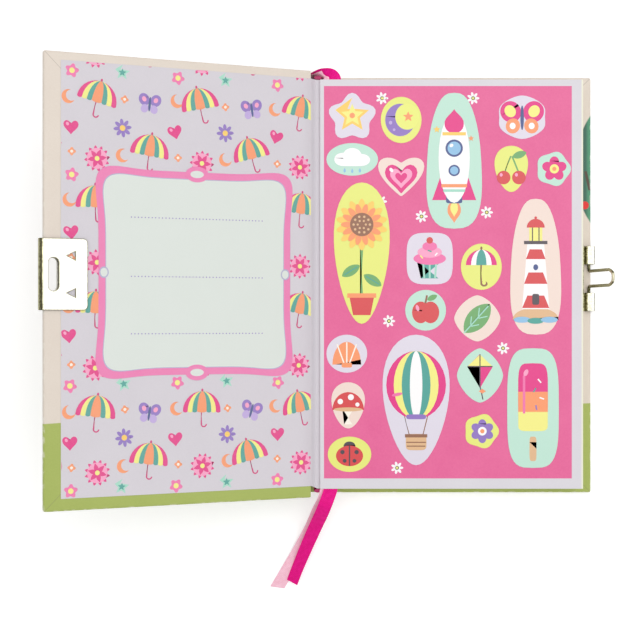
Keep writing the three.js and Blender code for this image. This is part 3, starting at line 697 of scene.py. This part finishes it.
pale_way = route(pale_level, 1, [
    (-3.21, -6.3, .526, 0, 0, -1), (-3.21, -1.8, .526, 0, 0, -1), (-2.7, .8, .6, .15, -.25, -.95),
    (-.9, 1.35, .79, .5, -.45, -.72), (.7, 1.4, .91, .3, -.5, -.75), (1.75, .9, .98, -.85, -.25, -.2),
    (2.2, .1, 1, -.98, -.1, -.02), (2.34, -1.4), (2.34, -5.3), (2.34, -35.3), (2.34, -75.3),
]) + route(pale_level, -1, [
    (2.34, -35.3), (2.34, -2.8), (2.34, -.3), (2.05, 1.5, .99, -.97, .24, 0),
    (1.1, 4.6, .94, -.93, .36, 0), (-.85, 8.9, .7, -.91, .42, 0),
    (-3.5, 15.9, .318, -.91, .42, 0), (-7.9, 24.7, .0673, -.9, .4, 0), (-12.7, 33.1, .0184, -.9, .42, 0),
    (-16.5, 39.5, .0122, -.9, .42, 0),
])


def smooth_line(points, steps):
    """Points on the smooth line through some others, as many in each span as in the next."""
    points = [Vector(p) for p in points]
    ends = [2 * points[0] - points[1], *points, 2 * points[-1] - points[-2]]
    line = []
    for step in range(steps + 1):
        place = (len(points) - 1) * step / steps
        span = min(int(place), len(points) - 2)
        t = place - span
        a, b, c, d = ends[span:span + 4]
        gaps = [math.sqrt((q - p).length) for p, q in ((a, b), (b, c), (c, d))]
        near, mid, far = (gap if gap > 0.01 else 1 for gap in gaps)
        leave = ((b - a) / near - (c - a) / (near + mid) + (c - b) / mid) * mid
        arrive = ((c - b) / mid - (d - b) / (mid + far) + (d - c) / far) * mid
        line.append(b + leave * t + (3 * c - 3 * b - 2 * leave - arrive) * t ** 2
                    + (2 * b - 2 * c + leave + arrive) * t ** 3)
    return line


def blended(obj, material, bodies, start, end, stands_for, slot, degrees=35):
    """A finished piece, shaded smooth, with its place baked into its mesh. Its bodies, start and end are not
    used.
    """
    soften(obj, degrees)
    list(bodies)
    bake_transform(obj)
    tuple(start)
    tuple(end)
    named(obj, obj.name, material, stands_for, slot)


def ribbon(name, way, material, slant, stands_for, slot):
    """A flat woven tape along its stations, with its map running across and along the threads."""
    centres = smooth_line([station[:3] for station in way], ribbon_steps)
    walked, spans = walk(centres), len(way) - 1
    shares = [column / ribbon_columns for column in range(ribbon_columns + 1)]
    rows, maps = [], []
    for row, centre in enumerate(centres):
        place = spans * row / ribbon_steps
        span = min(int(place), spans - 1)
        wide = Vector(way[span][3:]).lerp(Vector(way[span + 1][3:]), place - span)
        along = (centres[min(row + 1, ribbon_steps)] - centres[max(row - 1, 0)]).normalized()
        wide = (wide - along * wide.dot(along)).normalized() * ribbon_width
        trim = along * slant * max(0, row - ribbon_steps + slanted_steps) / slanted_steps
        rows.append([(centre + (wide + trim) * (share - 0.5)) * MM for share in shares])
        maps.append([(share * 5 * MM, walked[row] * MM) for share in shares])
    obj = laid(name, rows, maps, "UVMap", 0.17 * MM)
    blended(obj, material, ("book_block", "ribbon_tails"), *tails_bend, stands_for, slot, 50)
    [c * MM for c in way[2][:3]]
    [tuple(c * MM for c in centre) for centre in centres]


for name, way, darker, colour, slant, cad_name in (
        ("magenta", magenta_way, ink(222, 0, 122), ink(246, 22, 148), 0, "ribbon_magenta"),
        ("pale", pale_way, ink(242, 180, 200), ink(255, 210, 226), 2.1, "ribbon_pale_pink")):
    satin = woven(f"{name}_satin", {"Roughness": 0.5, "Specular IOR Level": 0.15}, darker, colour,
                  (2600, 9800), "UVMap")
    ribbon(f"{name}_ribbon", way, satin, slant, [cad_name, f"{cad_name}_tail"], f"{name}_satin")


# Endpapers: a folded sheet of lilac paper at each end of the pages. One half is pasted down inside the
# cover, the fold crosses the joint, and the other half is the first or last free leaf.
leaf_skin = 0.15 * MM
endpaper_stock = paper("endpaper_stock", {"Roughness": 0.62}, ink(209, 204, 210), ink(220, 215, 221),
                       1500, 0.15)
pasted_ends, page_ends = (-74.2 * MM, 75.5 * MM), (-page_end * MM, page_end * MM)
page_spine, page_fore = first_box[0].x, first_box[1].x
fold_steps, past_board = 10, 3.44 * MM


def on_open_cover(distance, level):
    """A place in the open front cover, as (x, z)."""
    place = front_place @ Vector((-distance, 0, level))
    return place.x, place.z


def middle_of(name):
    """The middle height of a CAD node."""
    return sum(corner.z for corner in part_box(name)) / 2


def endpaper(name, glued, fold_start, fold_level, leaf_level, bodies, bend, stands_for):
    """One folded sheet: its half in the cover, its soft fold, and its half cut with the pages."""
    line, ends = list(glued), [pasted_ends] * len(glued)
    fold = fold_start, (page_spine - 1 * MM, fold_level), (page_spine - 0.1 * MM, leaf_level)
    for step in range(fold_steps + 1):
        t = step / fold_steps
        line.append([a * (1 - t) ** 2 + 2 * b * t * (1 - t) + c * t * t for a, b, c in zip(*fold)])
        ends.append([pasted + (page - pasted) * t for pasted, page in zip(pasted_ends, page_ends)])
    for share in (0.9, 0.5, 0):
        line.append((page_fore - share * (page_fore - page_spine), leaf_level))
        ends.append(page_ends)
    sheet = drawn_out(name, [(*point, *pair) for point, pair in zip(line, ends)], leaf_skin)
    blended(sheet, endpaper_stock, bodies, *bend, stands_for, "endpaper")


depth, leaf_level = -0.875 * MM, middle_of("front_flyleaf")
glued = [on_open_cover(d * MM, depth) for d in (96.34, 60, 30, 8)]
endpaper("front_endpaper", glued, on_open_cover(past_board, depth), leaf_level, leaf_level,
         ("front_cover", "book_block"), ((-0.0563, 0, 0.018), (-0.0541, 0, 0.018)),
         ["front_pastedown", "front_endpaper_fold", "front_flyleaf"])
level, leaf_level = middle_of("back_pastedown"), middle_of("back_flyleaf")
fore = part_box("back_pastedown")[1].x
glued = [(fore - share * (fore - back_hinge.x), level) for share in (0, 0.5, 0.9)]
endpaper("back_endpaper", glued, (back_hinge.x + past_board, level), level, leaf_level,
         ("back_cover", "book_block"), ((0, 0, level), (0, 0, leaf_level)),
         ["back_pastedown", "back_endpaper_fold", "back_flyleaf"])


# Spine: the cover paper goes on from board to board over a strip of flexible card, and bows away from
# the pages with the book open. It is made in two halves.
start_x, start_z = hinge_x + 3.49, 0.175
end_x, end_z = (c / MM for c in on_open_cover(past_board, -3.275 * MM))
rise, bow = end_z - start_z, 7.6
bowed = [(hinge_x - out * bow, start_z + up * rise)
         for out, up in ((0.58, 0.06), (0.93, 0.27), (1, 0.55), (0.82, 0.79))]
spine_line = smooth_line([(x, z, 0) for x, z in (
    (start_x, start_z), (hinge_x, start_z + 0.05), *bowed, (end_x + 0.25, start_z + 0.93 * rise),
    (end_x, end_z))], 64)
middle = len(spine_line) // 2
for name, part, bodies, reach, stands_for in (
        ("back", spine_line[:middle + 1], ("back_cover", "book_block"), (0.5, 7), ["spine_paper"]),
        ("front", spine_line[middle:], ("book_block", "front_cover"), (9.5, end_z - 0.15), [])):
    line = [(x * MM, z * MM, wrap_low.y, wrap_high.y) for x, z, _ in part]
    blended(drawn_out(f"spine_{name}_half", line, paper_skin), cover_print, bodies,
            *((0, 0, z * MM) for z in reach), stands_for, "cover_paper")

card_inset, under_paper, inside = 0.3 * MM, 0.375, []
for before, point, after in zip(spine_line[18:47], spine_line[19:48], spine_line[20:49]):
    way = (after - before).normalized() * under_paper
    inside.append(((point.x + way.y) * MM, (point.y - way.x) * MM,
                   wrap_low.y + card_inset, wrap_high.y - card_inset))
blended(drawn_out("spine_card", inside, 0.4 * MM), greyboard, ("back_cover", "book_block"),
        (0, 0, 0.5 * MM), (0, 0, 7 * MM), ["spine_inlay"], "board")


# Endpaper print: small bright motifs in flat ink, scattered over the lilac, and trimmed with the sheet.
# Each is drawn once, ink over ink, and printed again wherever the pattern repeats.
ink_step = 0.006 * MM
inks = {}
for entry in """pink 240 110 170; hot 226 20 128; rose 248 160 196; magenta 206 16 112; orange 248 150 96;
gold 250 205 92; lemon 244 238 130; yellow 234 238 120; red 214 56 60; mint 160 218 196;
teal 62 158 146; green 104 166 96; sky 140 190 226; navy 52 72 132; lilac 190 166 220;
violet 140 110 190; cream 252 244 230; white 252 250 250; brown 142 92 62; tan 224 180 134;
dark 64 52 62; field 219 226 219; lavender 176 174 204; border 236 118 176""".split(";"):
    name, *numbers = entry.split()
    inks[name] = ink(*map(int, numbers))


def signed(value, power):
    return math.copysign(abs(value) ** power, value)


corners = {
    "box": ((-1, -1), (1, -1), (1, 1), (-1, 1)),
    "tri": ((-1, -1), (1, -1), (0, 1)),
    "taper": ((-1, -1), (1, -1), (0.62, 1), (-0.62, 1)),
    "cup": ((-0.68, -1), (0.68, -1), (1, 1), (-1, 1)),
    "diamond": ((0, -1), (1, 0.25), (0, 1), (-1, 0.25)),
}
arcs = {  # two each: middle, radius, points, first angle and step in degrees
    "crescent": ((0, 1, 21, 50, 13), (0.45, 0.79, 21, 284.1, -10.41)),
    "hook": ((0, 1, 13, 180, 15), (0, 0.6, 13, 360, -15)),
}
curves = {  # from an angle, its cosine and its sine
    "oval": lambda a, c, s: (c, s),
    "block": lambda a, c, s: (signed(c, 0.4), signed(s, 0.4)),
    "drop": lambda a, c, s: (c * (0.8 - (0.2 * s if s < 0 else 0.8 * s ** 1.4)), s),
    "leaf": lambda a, c, s: (c, signed(s, 1.5)),
    "half": lambda a, c, s: (c, 2 * max(s, 0) - 1),
    "heart": lambda a, c, s: (-0.75 * signed(s, 3) - 0.25 * s, 0.1 + (
        13 * c - 5 * math.cos(2 * a) - 2 * math.cos(3 * a) - math.cos(4 * a)) / 15),
    "star": lambda a, c, s: tuple(v * (0.73 + 0.27 * math.cos(5 * a)) for v in (-s, c)),
    "frame": lambda a, c, s: tuple(signed(v, 0.34) * (0.98 - 0.05 * math.cos(4 * a)) for v in (c, s)),
    "bloom": lambda a, c, s, petals: tuple(v * (0.84 + 0.16 * math.cos(petals * a)) for v in (c, s)),
}
points_of = {"star": 10, "frame": 120, "bloom": 60}


def outline(kind):
    """Points round a flat shape one unit wide and one unit high, about its own middle."""
    if kind in corners:
        points = corners[kind]
    elif kind in arcs:
        points = [(middle + radius * math.cos(a), radius * math.sin(a)) for middle, radius, count, first, step
                  in arcs[kind] for a in (math.radians(first + step * number) for number in range(count))]
    else:
        curve = kind.rstrip("0123456789")
        petals = [int(kind[len(curve):])] if curve != kind else []
        count = points_of.get(curve, 28)
        turns = [2 * math.pi * number / count for number in range(count)]
        points = [curves[curve](a, math.cos(a), math.sin(a), *petals) for a in turns]
    return [(x / 2, y / 2) for x, y in points]


def inked(name, shapes):
    """Flat shapes in the order that they are printed: (kind, x, y, width, height, ink, turn)."""
    obj = added(bpy.ops.mesh.primitive_circle_add, vertices=3, radius=1)
    obj.name = obj.data.name = name
    edit(obj)
    bpy.ops.mesh.delete(type="VERT")
    for level, (kind, x, y, width, height, colour, *turn) in enumerate(shapes):
        points = outline(kind)
        bpy.ops.mesh.select_all(action="DESELECT")
        bpy.ops.mesh.primitive_circle_add(vertices=len(points), radius=1, fill_type="NGON")
        mesh = bmesh.from_edit_mesh(obj.data)
        layer = mesh.loops.layers.float_color.get("ink") or mesh.loops.layers.float_color.new("ink")
        mesh.verts.index_update()
        angle = math.radians(sum(turn))
        c, s = math.cos(angle) * MM, math.sin(angle) * MM
        fresh = sorted((v for v in mesh.verts if v.select), key=lambda v: v.index)
        for vertex, (px, py) in zip(fresh, points):
            px, py = px * width, py * height
            vertex.co = (x * MM + px * c - py * s, y * MM + px * s + py * c, level * ink_step)
        for face in mesh.faces:
            if face.select:
                for corner in face.loops:
                    corner[layer] = colour
        bmesh.update_edit_mesh(obj.data)
    close()
    return obj


def pair(kind, x, y, width, height, colour, turn=0):
    """A shape and its mirror image, the left one first."""
    return [(kind, -x, y, width, height, colour, turn), (kind, x, y, width, height, colour, -turn)]


def ring_of(kind, count, x, y, radius, width, height, colour, lean=0):
    """The same shape set round a middle, each turned to point outwards."""
    ways = [2 * math.pi * number / count + math.radians(lean) for number in range(int(count))]
    return [(kind, x + radius * math.cos(a), y + radius * math.sin(a), width, height, colour,
             math.degrees(a) - 90) for a in ways]


def panelled_dome(x, y, width, *panels):
    """An umbrella's cover: upright panels that narrow to its top, the outer ones first."""
    return [("half", x, y + width / 4, width * (1 - number / len(panels)), width / 2, colour)
            for number, colour in enumerate(panels)]


def read(word):
    """One word of a drawing: an ink, a number, or the name of a shape."""
    if word in inks:
        return inks[word]
    return float(word) if word.lstrip("-")[0].isdigit() else word


def drawings_in(text):
    """Each drawing in a list: its heading, and its shapes, such as: oval, x, y, width, height, ink, turn."""
    arranged = {"pair": pair, "ring": ring_of, "dome": panelled_dome}
    for heading, body in (entry.split(":") for entry in text.split("\n\n")):
        shapes = []
        for item in body.split(";"):
            kind, *facts = (read(word) for word in item.split())
            shapes += arranged[kind](*facts) if kind in arranged else [(kind, *facts)]
        yield heading, shapes


motifs = """umbrella: box 0 -1.6 0.5 5.2 magenta; hook 0.8 -4.1 2.1 2.1 magenta; oval 0 6.6 0.7 1.1 magenta;
oval 0 0.05 3.15 1 orange; oval 0 0.05 3.15 1 orange; pair oval 2.37 0.05 1.57 1 teal;
pair oval 3.93 0.05 1.57 1 lemon; pair oval 5.5 0.05 1.57 1 hot; dome 0 0 12.6 hot lemon teal orange

butterfly: pair oval 1.9 1.2 3.4 3.9 violet 30; pair oval 1.5 -1.6 2.4 2.7 lilac -25;
pair oval 1.9 1.3 1.4 1.7 rose 30; oval 0 -0.1 0.8 4.6 navy

sweet: bloom12 0 0 8.2 8.2 hot; oval 0 0 6.4 6.4 rose; ring drop 6 0 0 1.7 1.7 2.9 hot; oval 0 0 1.5 1.5 lemon

star: star 0 0 4.9 4.9 mint; star 0 0 2.6 2.6 teal

heart: heart 0 0 4.7 4.4 hot; oval -1.1 0.9 0.9 1.1 rose 30

daisy: ring oval 8 0 0 1.75 1.15 2.3 violet; oval 0 0 1.8 1.8 gold

bloom: bloom5 0 0 4.4 4.4 pink; oval 0 0 1.7 1.7 lemon

moon: crescent 0 0 4.3 4.3 orange 30

bud: bloom4 0 0 2.6 2.6 orange; oval 0 0 0.9 0.9 cream"""

printed_ink, tree, shader = finish("printed_ink", {"Roughness": 0.55})
printed = source(tree, "Attribute", "Color", attribute_name="ink")
feed(shader, {"Base Color": (fibres(tree, shader, 1700, 0.1) * 0.14).mix(printed, white)})

panel_x, panel_y, panel_width, panel_height, panel_lap = -47.6, 3.3, 76.7, 77, 6
random.seed(7)
repeat_width, repeat_height, most_stray, most_turn = 38, 36, 0.5, 16
motif_size = Matrix.Diagonal((1.12, 1.12, 1, 1))
repeat = (("umbrella", 0, 0), ("umbrella", 19, 17), ("sweet", 19, -2.5), ("butterfly", 0, 17.5),
          ("heart", 9.7, 8.2), ("daisy", 28.4, 8.6), ("bloom", 10, 27.4), ("star", 28.4, 27.6),
          ("moon", 9.6, 18.6), ("bud", 28.6, 18.4), ("bud", 10, -1), ("moon", 28.6, -0.8))
drawings = {name: inked(f"{name}_motif", shapes) for name, shapes in drawings_in(motifs)}
prints = []
for row in range(-3, 3):
    for column in range(4):
        for kind, in_x, in_y in repeat:
            x = -103 + column * repeat_width + in_x + random.uniform(-most_stray, most_stray)
            y = 9 + row * repeat_height + in_y + random.uniform(-most_stray, most_stray)
            turned = Matrix.Rotation(math.radians(random.uniform(-most_turn, most_turn)), 4, "Z")
            under_label = (abs(x - panel_x) < panel_width / 2 - panel_lap
                           and abs(y - panel_y) < panel_height / 2 - panel_lap)
            if not under_label and -106 < x < 4 and -84 < y < 84:
                place = Matrix.Translation((x * MM, y * MM, 0)) @ turned
                prints.append(copy_of(drawings[kind], place @ motif_size))
for motif in drawings.values():
    bpy.data.objects.remove(motif)
print_sheet = joined(prints)
edit(print_sheet)
for trim, way in ((96.2, (-1, 0, 0)), (-3.7, (1, 0, 0)), (75.4, (0, 1, 0)), (74.1, (0, -1, 0))):
    bpy.ops.mesh.select_all(action="SELECT")
    bpy.ops.mesh.bisect(plane_co=[trim * MM * c for c in way], plane_no=way, clear_outer=True)
close()
print_level = -0.79 * MM
print_sheet.data.transform(front_place @ Matrix.Translation((0, 0, print_level)))
fixed(print_sheet, "endpaper_print", "front_cover", printed_ink, [], "endpaper")


# Label panel: a pale mint field in a wavy pink frame, with a thin lavender line inside it and dotted
# lines to write on, printed with the pattern.
label = [("frame", panel_x, panel_y, panel_width - less, panel_height - less, inks[colour])
         for less, colour in ((0, "border"), (5.2, "lavender"), (5.8, "field"))]
for end in (-1, 1):
    x, y = panel_x + end * (panel_width / 2 - 4.6), panel_y + end * (panel_height / 2 - 3.4)
    label += [("oval", panel_x, y, 8.6, 5.6, inks["border"]), ("oval", panel_x, y, 5, 2.6, inks["field"]),
              ("oval", x, panel_y, 3.4, 4, inks["lavender"]), ("oval", x, panel_y, 2.5, 3, inks["field"])]
label_print = inked("label_print", label)
dots = inked("writing_lines", [("oval", panel_x - 24 + 1.25 * number, y, 0.42, 0.42, inks["violet"])
                               for y in (22.6, 2, -18) for number in range(40)])
for vertex in dots.data.vertices:
    vertex.co.z = len(label) * ink_step
for piece in (label_print, dots):
    piece.data.transform(front_place @ Matrix.Translation((0, 0, print_level + 0.085 * MM)))
    fixed(piece, piece.name, "front_cover", printed_ink, [], "endpaper")


# Sticker sheet: a leaf of backing paper, printed pink to within a few millimetres of its edges, with
# small white daisies between the stickers.
sheet_low, sheet_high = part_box("sticker_sheet")
field_x, field_y, field_reach = sheet_low.x / MM + 47.3, 0.4, (45.6 * MM, 72.2 * MM)
sheet_paper, tree, shader = finish(
    "sheet_paper", {"Roughness": 0.42, "Coat Weight": 0.12, "Coat Roughness": 0.3})
mottle = fibres(tree, shader, 1500, 0.12)
x, y, z = source(tree, "TexCoord", "Object").parts()
inside_x = 1 - abs(x - (field_x - 0.3) * MM).step(field_reach[0], 0.04 * MM)
inside_y = 1 - abs(y - (field_y + 0.3) * MM).step(field_reach[1], 0.04 * MM)
field = inside_x * inside_y * z.step(sheet_high.z - 0.05 * MM, 0.01 * MM)
cut_edge = x.step(sheet_high.x - 0.55 * MM, 0.1 * MM)
whites = cut_edge.mix(mottle.mix(ink(212, 208, 215), ink(224, 220, 225)), ink(238, 236, 214))
feed(shader, {"Base Color": field.mix(whites, mottle.mix(ink(219, 76, 138), ink(238, 112, 162)))})
give("sticker_sheet", sheet_paper)
daisies = []
for x, y in ((-24.5, 68), (9, 68), (-25, 30), (14, 26), (-10, 24.5), (-22, -14), (20, -24), (-36, 31),
             (-19, -68)):
    daisies += ring_of("oval", 7, field_x + x, field_y + y, 1.35, 0.95, 1.9, inks["white"])
    daisies.append(("oval", field_x + x, field_y + y, 1.4, 1.4, inks["lemon"]))
daisy_print = inked("sheet_daisies", daisies)
for vertex in daisy_print.data.vertices:
    vertex.co.z = sheet_high.z + (0.004 + 0.002 * (vertex.co.z > 0)) * MM
fixed(daisy_print, "sheet_daisies", "sticker_sheet", printed_ink, [], "sheet_paper")


# Stickers: kiss-cut glossy paper in four pale colours, each with its picture in flat inks.
glossy = {"Roughness": 0.35, "Coat Weight": 0.3, "Coat Roughness": 0.2}
backings = {}
for name, colour in (("mint", ink(192, 230, 212)), ("yellow", inks["yellow"]), ("lilac", ink(226, 219, 232)),
                     ("peach", ink(244, 222, 210))):
    backings[name] = paper(f"sticker_{name}", glossy, dimmed(colour, 0.94), colour, 1500, 0.08)
pictures = """rocket mint: pair tri 4.6 -9.5 7 10 hot; drop 0 -19 6 8 orange 180;
drop 0 -18 3.4 5.5 lemon 180; block 0 -14.2 6 3 navy; oval 0 1 11.5 33 white;
drop 0 14.6 8.6 9 hot; box 0 9.9 8.6 1.2 gold; oval 0 4.6 6.4 6.4 navy; oval 0 4.6 4.9 4.9 sky;
oval -1 5.6 1.5 1.2 white 30; oval 0 -3.6 4.2 4.2 navy; oval 0 -3.6 3 3 sky; box 0 -9.2 9.4 1.2 orange;
box 0 -11 8 0.9 mint; star -6.4 11.5 2.6 2.6 gold; star 6.2 8.2 2.2 2.2 orange

sunflower yellow: box 0 -7.5 1.3 23 green; leaf -4 -6.5 7.6 3.6 green 32; leaf 4 -10 7.6 3.6 green -32;
box -4 -6.5 5.6 0.35 teal 32; box 4 -10 5.6 0.35 teal -32; cup 0 -19 9.4 7.6 red; box 0 -15.6 10.6 1.6 orange;
ring leaf 14 0 10.5 6.4 2.9 6.2 gold 90; ring leaf 14 0 10.5 5.4 2.2 4.6 orange 77; oval 0 10.5 8.6 8.6 brown;
ring oval 10 0 10.5 3 0.9 0.9 tan; ring oval 6 0 10.5 1.5 0.8 0.8 tan

lighthouse peach: half 0 -17.2 17 4.4 tan; taper 0 -3.6 10 24 white; taper 0 -12.9 10 4.6 red;
taper 0 -4.2 8.6 4.2 red; taper 0 4.6 7.2 3.6 red; block 0 -12 2.6 4 dark; oval 0 -0.2 1.8 2.2 navy;
box 0 8.9 8.6 1.2 dark; box 0 12 4.8 5 lemon; pair box 1.2 12 0.4 5 dark; half 0 16 6.6 3.2 red;
oval 0 18 1 1 red; oval -5 -19.5 6.2 2.2 sky; oval 0 -19.9 6.2 2.2 teal; oval 5 -19.5 6.2 2.2 sky

air_balloon lilac: pair box 3.6 -8.5 0.35 9 brown 14; oval 0 5.5 22 25 hot; oval 0 5.5 16.5 25 lemon;
oval 0 5.5 10.6 25 teal; oval 0 5.5 4.6 25 white; block 0 -6.2 7.2 1.8 violet; oval -7 2 4 1.2 pink 12;
block 0 -15.5 7.6 6 tan; box 0 -13.2 8.2 1.2 brown; box 0 -15.6 7.2 0.4 brown; box 0 -17 6.8 0.4 brown

ice_lolly mint: block 0 -15 2.6 9 tan; block 0 4 11 25 hot; box 0 2 10.9 8 orange; block 0 -5 10.9 7 lemon;
box 0 -2.4 10.9 2 lemon; box -3.3 5 0.9 14 pink; oval -2.6 13 1.6 2.6 rose -25; box 2.4 10 0.5 1.8 white 40;
box 0.6 6.6 0.5 1.8 teal -30; box 3.2 3.6 0.5 1.8 white 70; box 1.2 0.2 0.5 1.8 violet 10

star lilac: star 0 0 13 13 gold; star 0 0 8.6 8.6 lemon; oval 0 0 2 2 orange

moon yellow: oval -0.4 0 11 12 violet; oval 2.2 1.2 8.8 9.6 yellow; star 2.6 1.2 4 4 orange;
oval -3.9 -1 1.2 1.4 lilac; oval -2.6 -3.6 1 1 lilac

heart peach: heart 0 -0.4 12 11 hot; heart 0 -0.3 8.2 7.4 rose; heart 0 -0.3 4.4 4 hot;
oval -3.6 2.5 1.2 1.8 white 35

cloud mint: oval -3.6 0 6 4.8 white; oval 3.4 -0.2 6.4 4.4 white; oval 0 1.2 7 6 white;
block 0 -1.2 10 2.6 white; drop -2.8 -4 1 1.7 sky; drop 0 -4.2 1 1.7 sky; drop 2.8 -4 1 1.7 sky

butterfly lilac: pair oval 4.2 2 7.6 8 hot 35; pair oval 3.4 -3.2 5.2 5.6 orange -25;
pair oval 4.4 2.2 4 4.6 lemon 35; pair oval 3.5 -3.2 2.2 2.4 white; oval 0 -0.2 1.3 9 navy

cherries yellow: box -1.4 1.2 0.6 7.4 green -20; box 1.7 1.2 0.6 7.4 green 22; leaf 3 5.2 5.4 2.6 green 18;
pair oval 2.8 -3.2 5 5 red; oval -3.7 -2.2 1.1 1.3 rose; oval 1.9 -2.2 1.1 1.3 rose

pink_flower mint: ring oval 5 0 0 2.5 3.6 4.2 hot 90; oval 0 0 3.4 3.4 lemon; oval 0 0 1.5 1.5 orange

cupcake lilac: cup 0 -4 9.6 6.6 teal; box -2.2 -4 0.7 6.4 mint 4; box 0 -4 0.7 6.4 mint;
box 2.2 -4 0.7 6.4 mint -4; oval 0 0 12 4.6 pink; oval 0 2.4 9 4.2 rose; oval 0 4.5 5.4 3.4 pink;
oval 0 6.7 2.4 2.4 red; box -3 0.6 0.5 1.4 lemon 40; box 2.4 1.6 0.5 1.4 white -40; box 0 2.8 0.5 1.4 teal 70

umbrella yellow: box 0 -2.4 0.7 8.4 brown; oval 1 -6.3 2.6 2 brown; oval 1 -5.9 1.4 1.5 yellow;
dome 0 0.6 11.4 hot white teal; oval 0 6.8 0.8 1.3 brown

apple mint: pair oval 1.8 -0.8 6.4 8 red; box 0.2 4 0.7 3 brown -12; leaf 2.4 4.6 4 2 green 24;
oval -3 0.8 1.2 2.4 rose 16

leaf peach: leaf 0 0 14 7.4 green 48; box -0.4 -0.4 13.4 0.5 mint 48; box 0.6 2.2 3.4 0.4 mint 84;
box 2.1 0.4 3.4 0.4 mint 12; box -2.3 -0.8 3 0.4 mint 84; box -0.8 -2.6 3 0.4 mint 12

shell lilac: half 0 0.2 10.6 8.4 orange; box 0 0.2 0.5 8 cream; pair box 2.3 0 0.5 7.4 cream 20;
block 0 -4.2 3.8 1.8 orange

mushroom peach: cup 0 -4 4.4 6 cream; half 0 1.6 11.6 6.6 red; oval 0 -1.5 10.6 1.5 tan;
oval -2.9 1.4 2 2 white; oval 1 3 2.2 2.2 white; oval 3.4 0.3 1.5 1.5 white

ladybird yellow: oval 0 3 4.4 3.4 dark; oval 0 -0.6 10 7.6 red; box 0 -0.6 0.5 7.4 dark;
pair oval 2.6 0.8 1.6 1.6 dark; pair oval 1.8 -2.4 1.4 1.4 dark

kite mint: diamond 0 1.6 9.4 12.6 hot; tri 0 5.5 9.3 4.4 lemon; box 0 1.6 0.4 12.4 dark;
box 0 3.3 9.2 0.4 dark; box 0.6 -6.6 0.4 4.6 dark 12; tri 0.2 -5.8 1.8 1.4 orange 90;
tri 1.5 -5.8 1.8 1.4 orange -90

lilac_flower yellow: ring oval 6 0 0 2.4 3.1 4 violet 90; oval 0 0 3.2 3.2 white; oval 0 0 1.6 1.6 orange"""
sticker_ink, tree, shader = finish("sticker_ink", glossy)
feed(shader, {"Base Color": source(tree, "Attribute", "Color", attribute_name="ink")})
for heading, shapes in drawings_in(pictures):
    name, backing = heading.split()
    give(f"sticker_{name}", backings[backing])
    low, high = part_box(f"sticker_{name}")
    picture = inked(f"{name}_picture", shapes)
    middle = (low + high) / 2
    picture.data.transform(Matrix.Translation((middle.x, middle.y, high.z + 0.003 * MM)))
    fixed(picture, f"{name}_picture", "sticker_sheet", sticker_ink, [], f"sticker_{backing}")
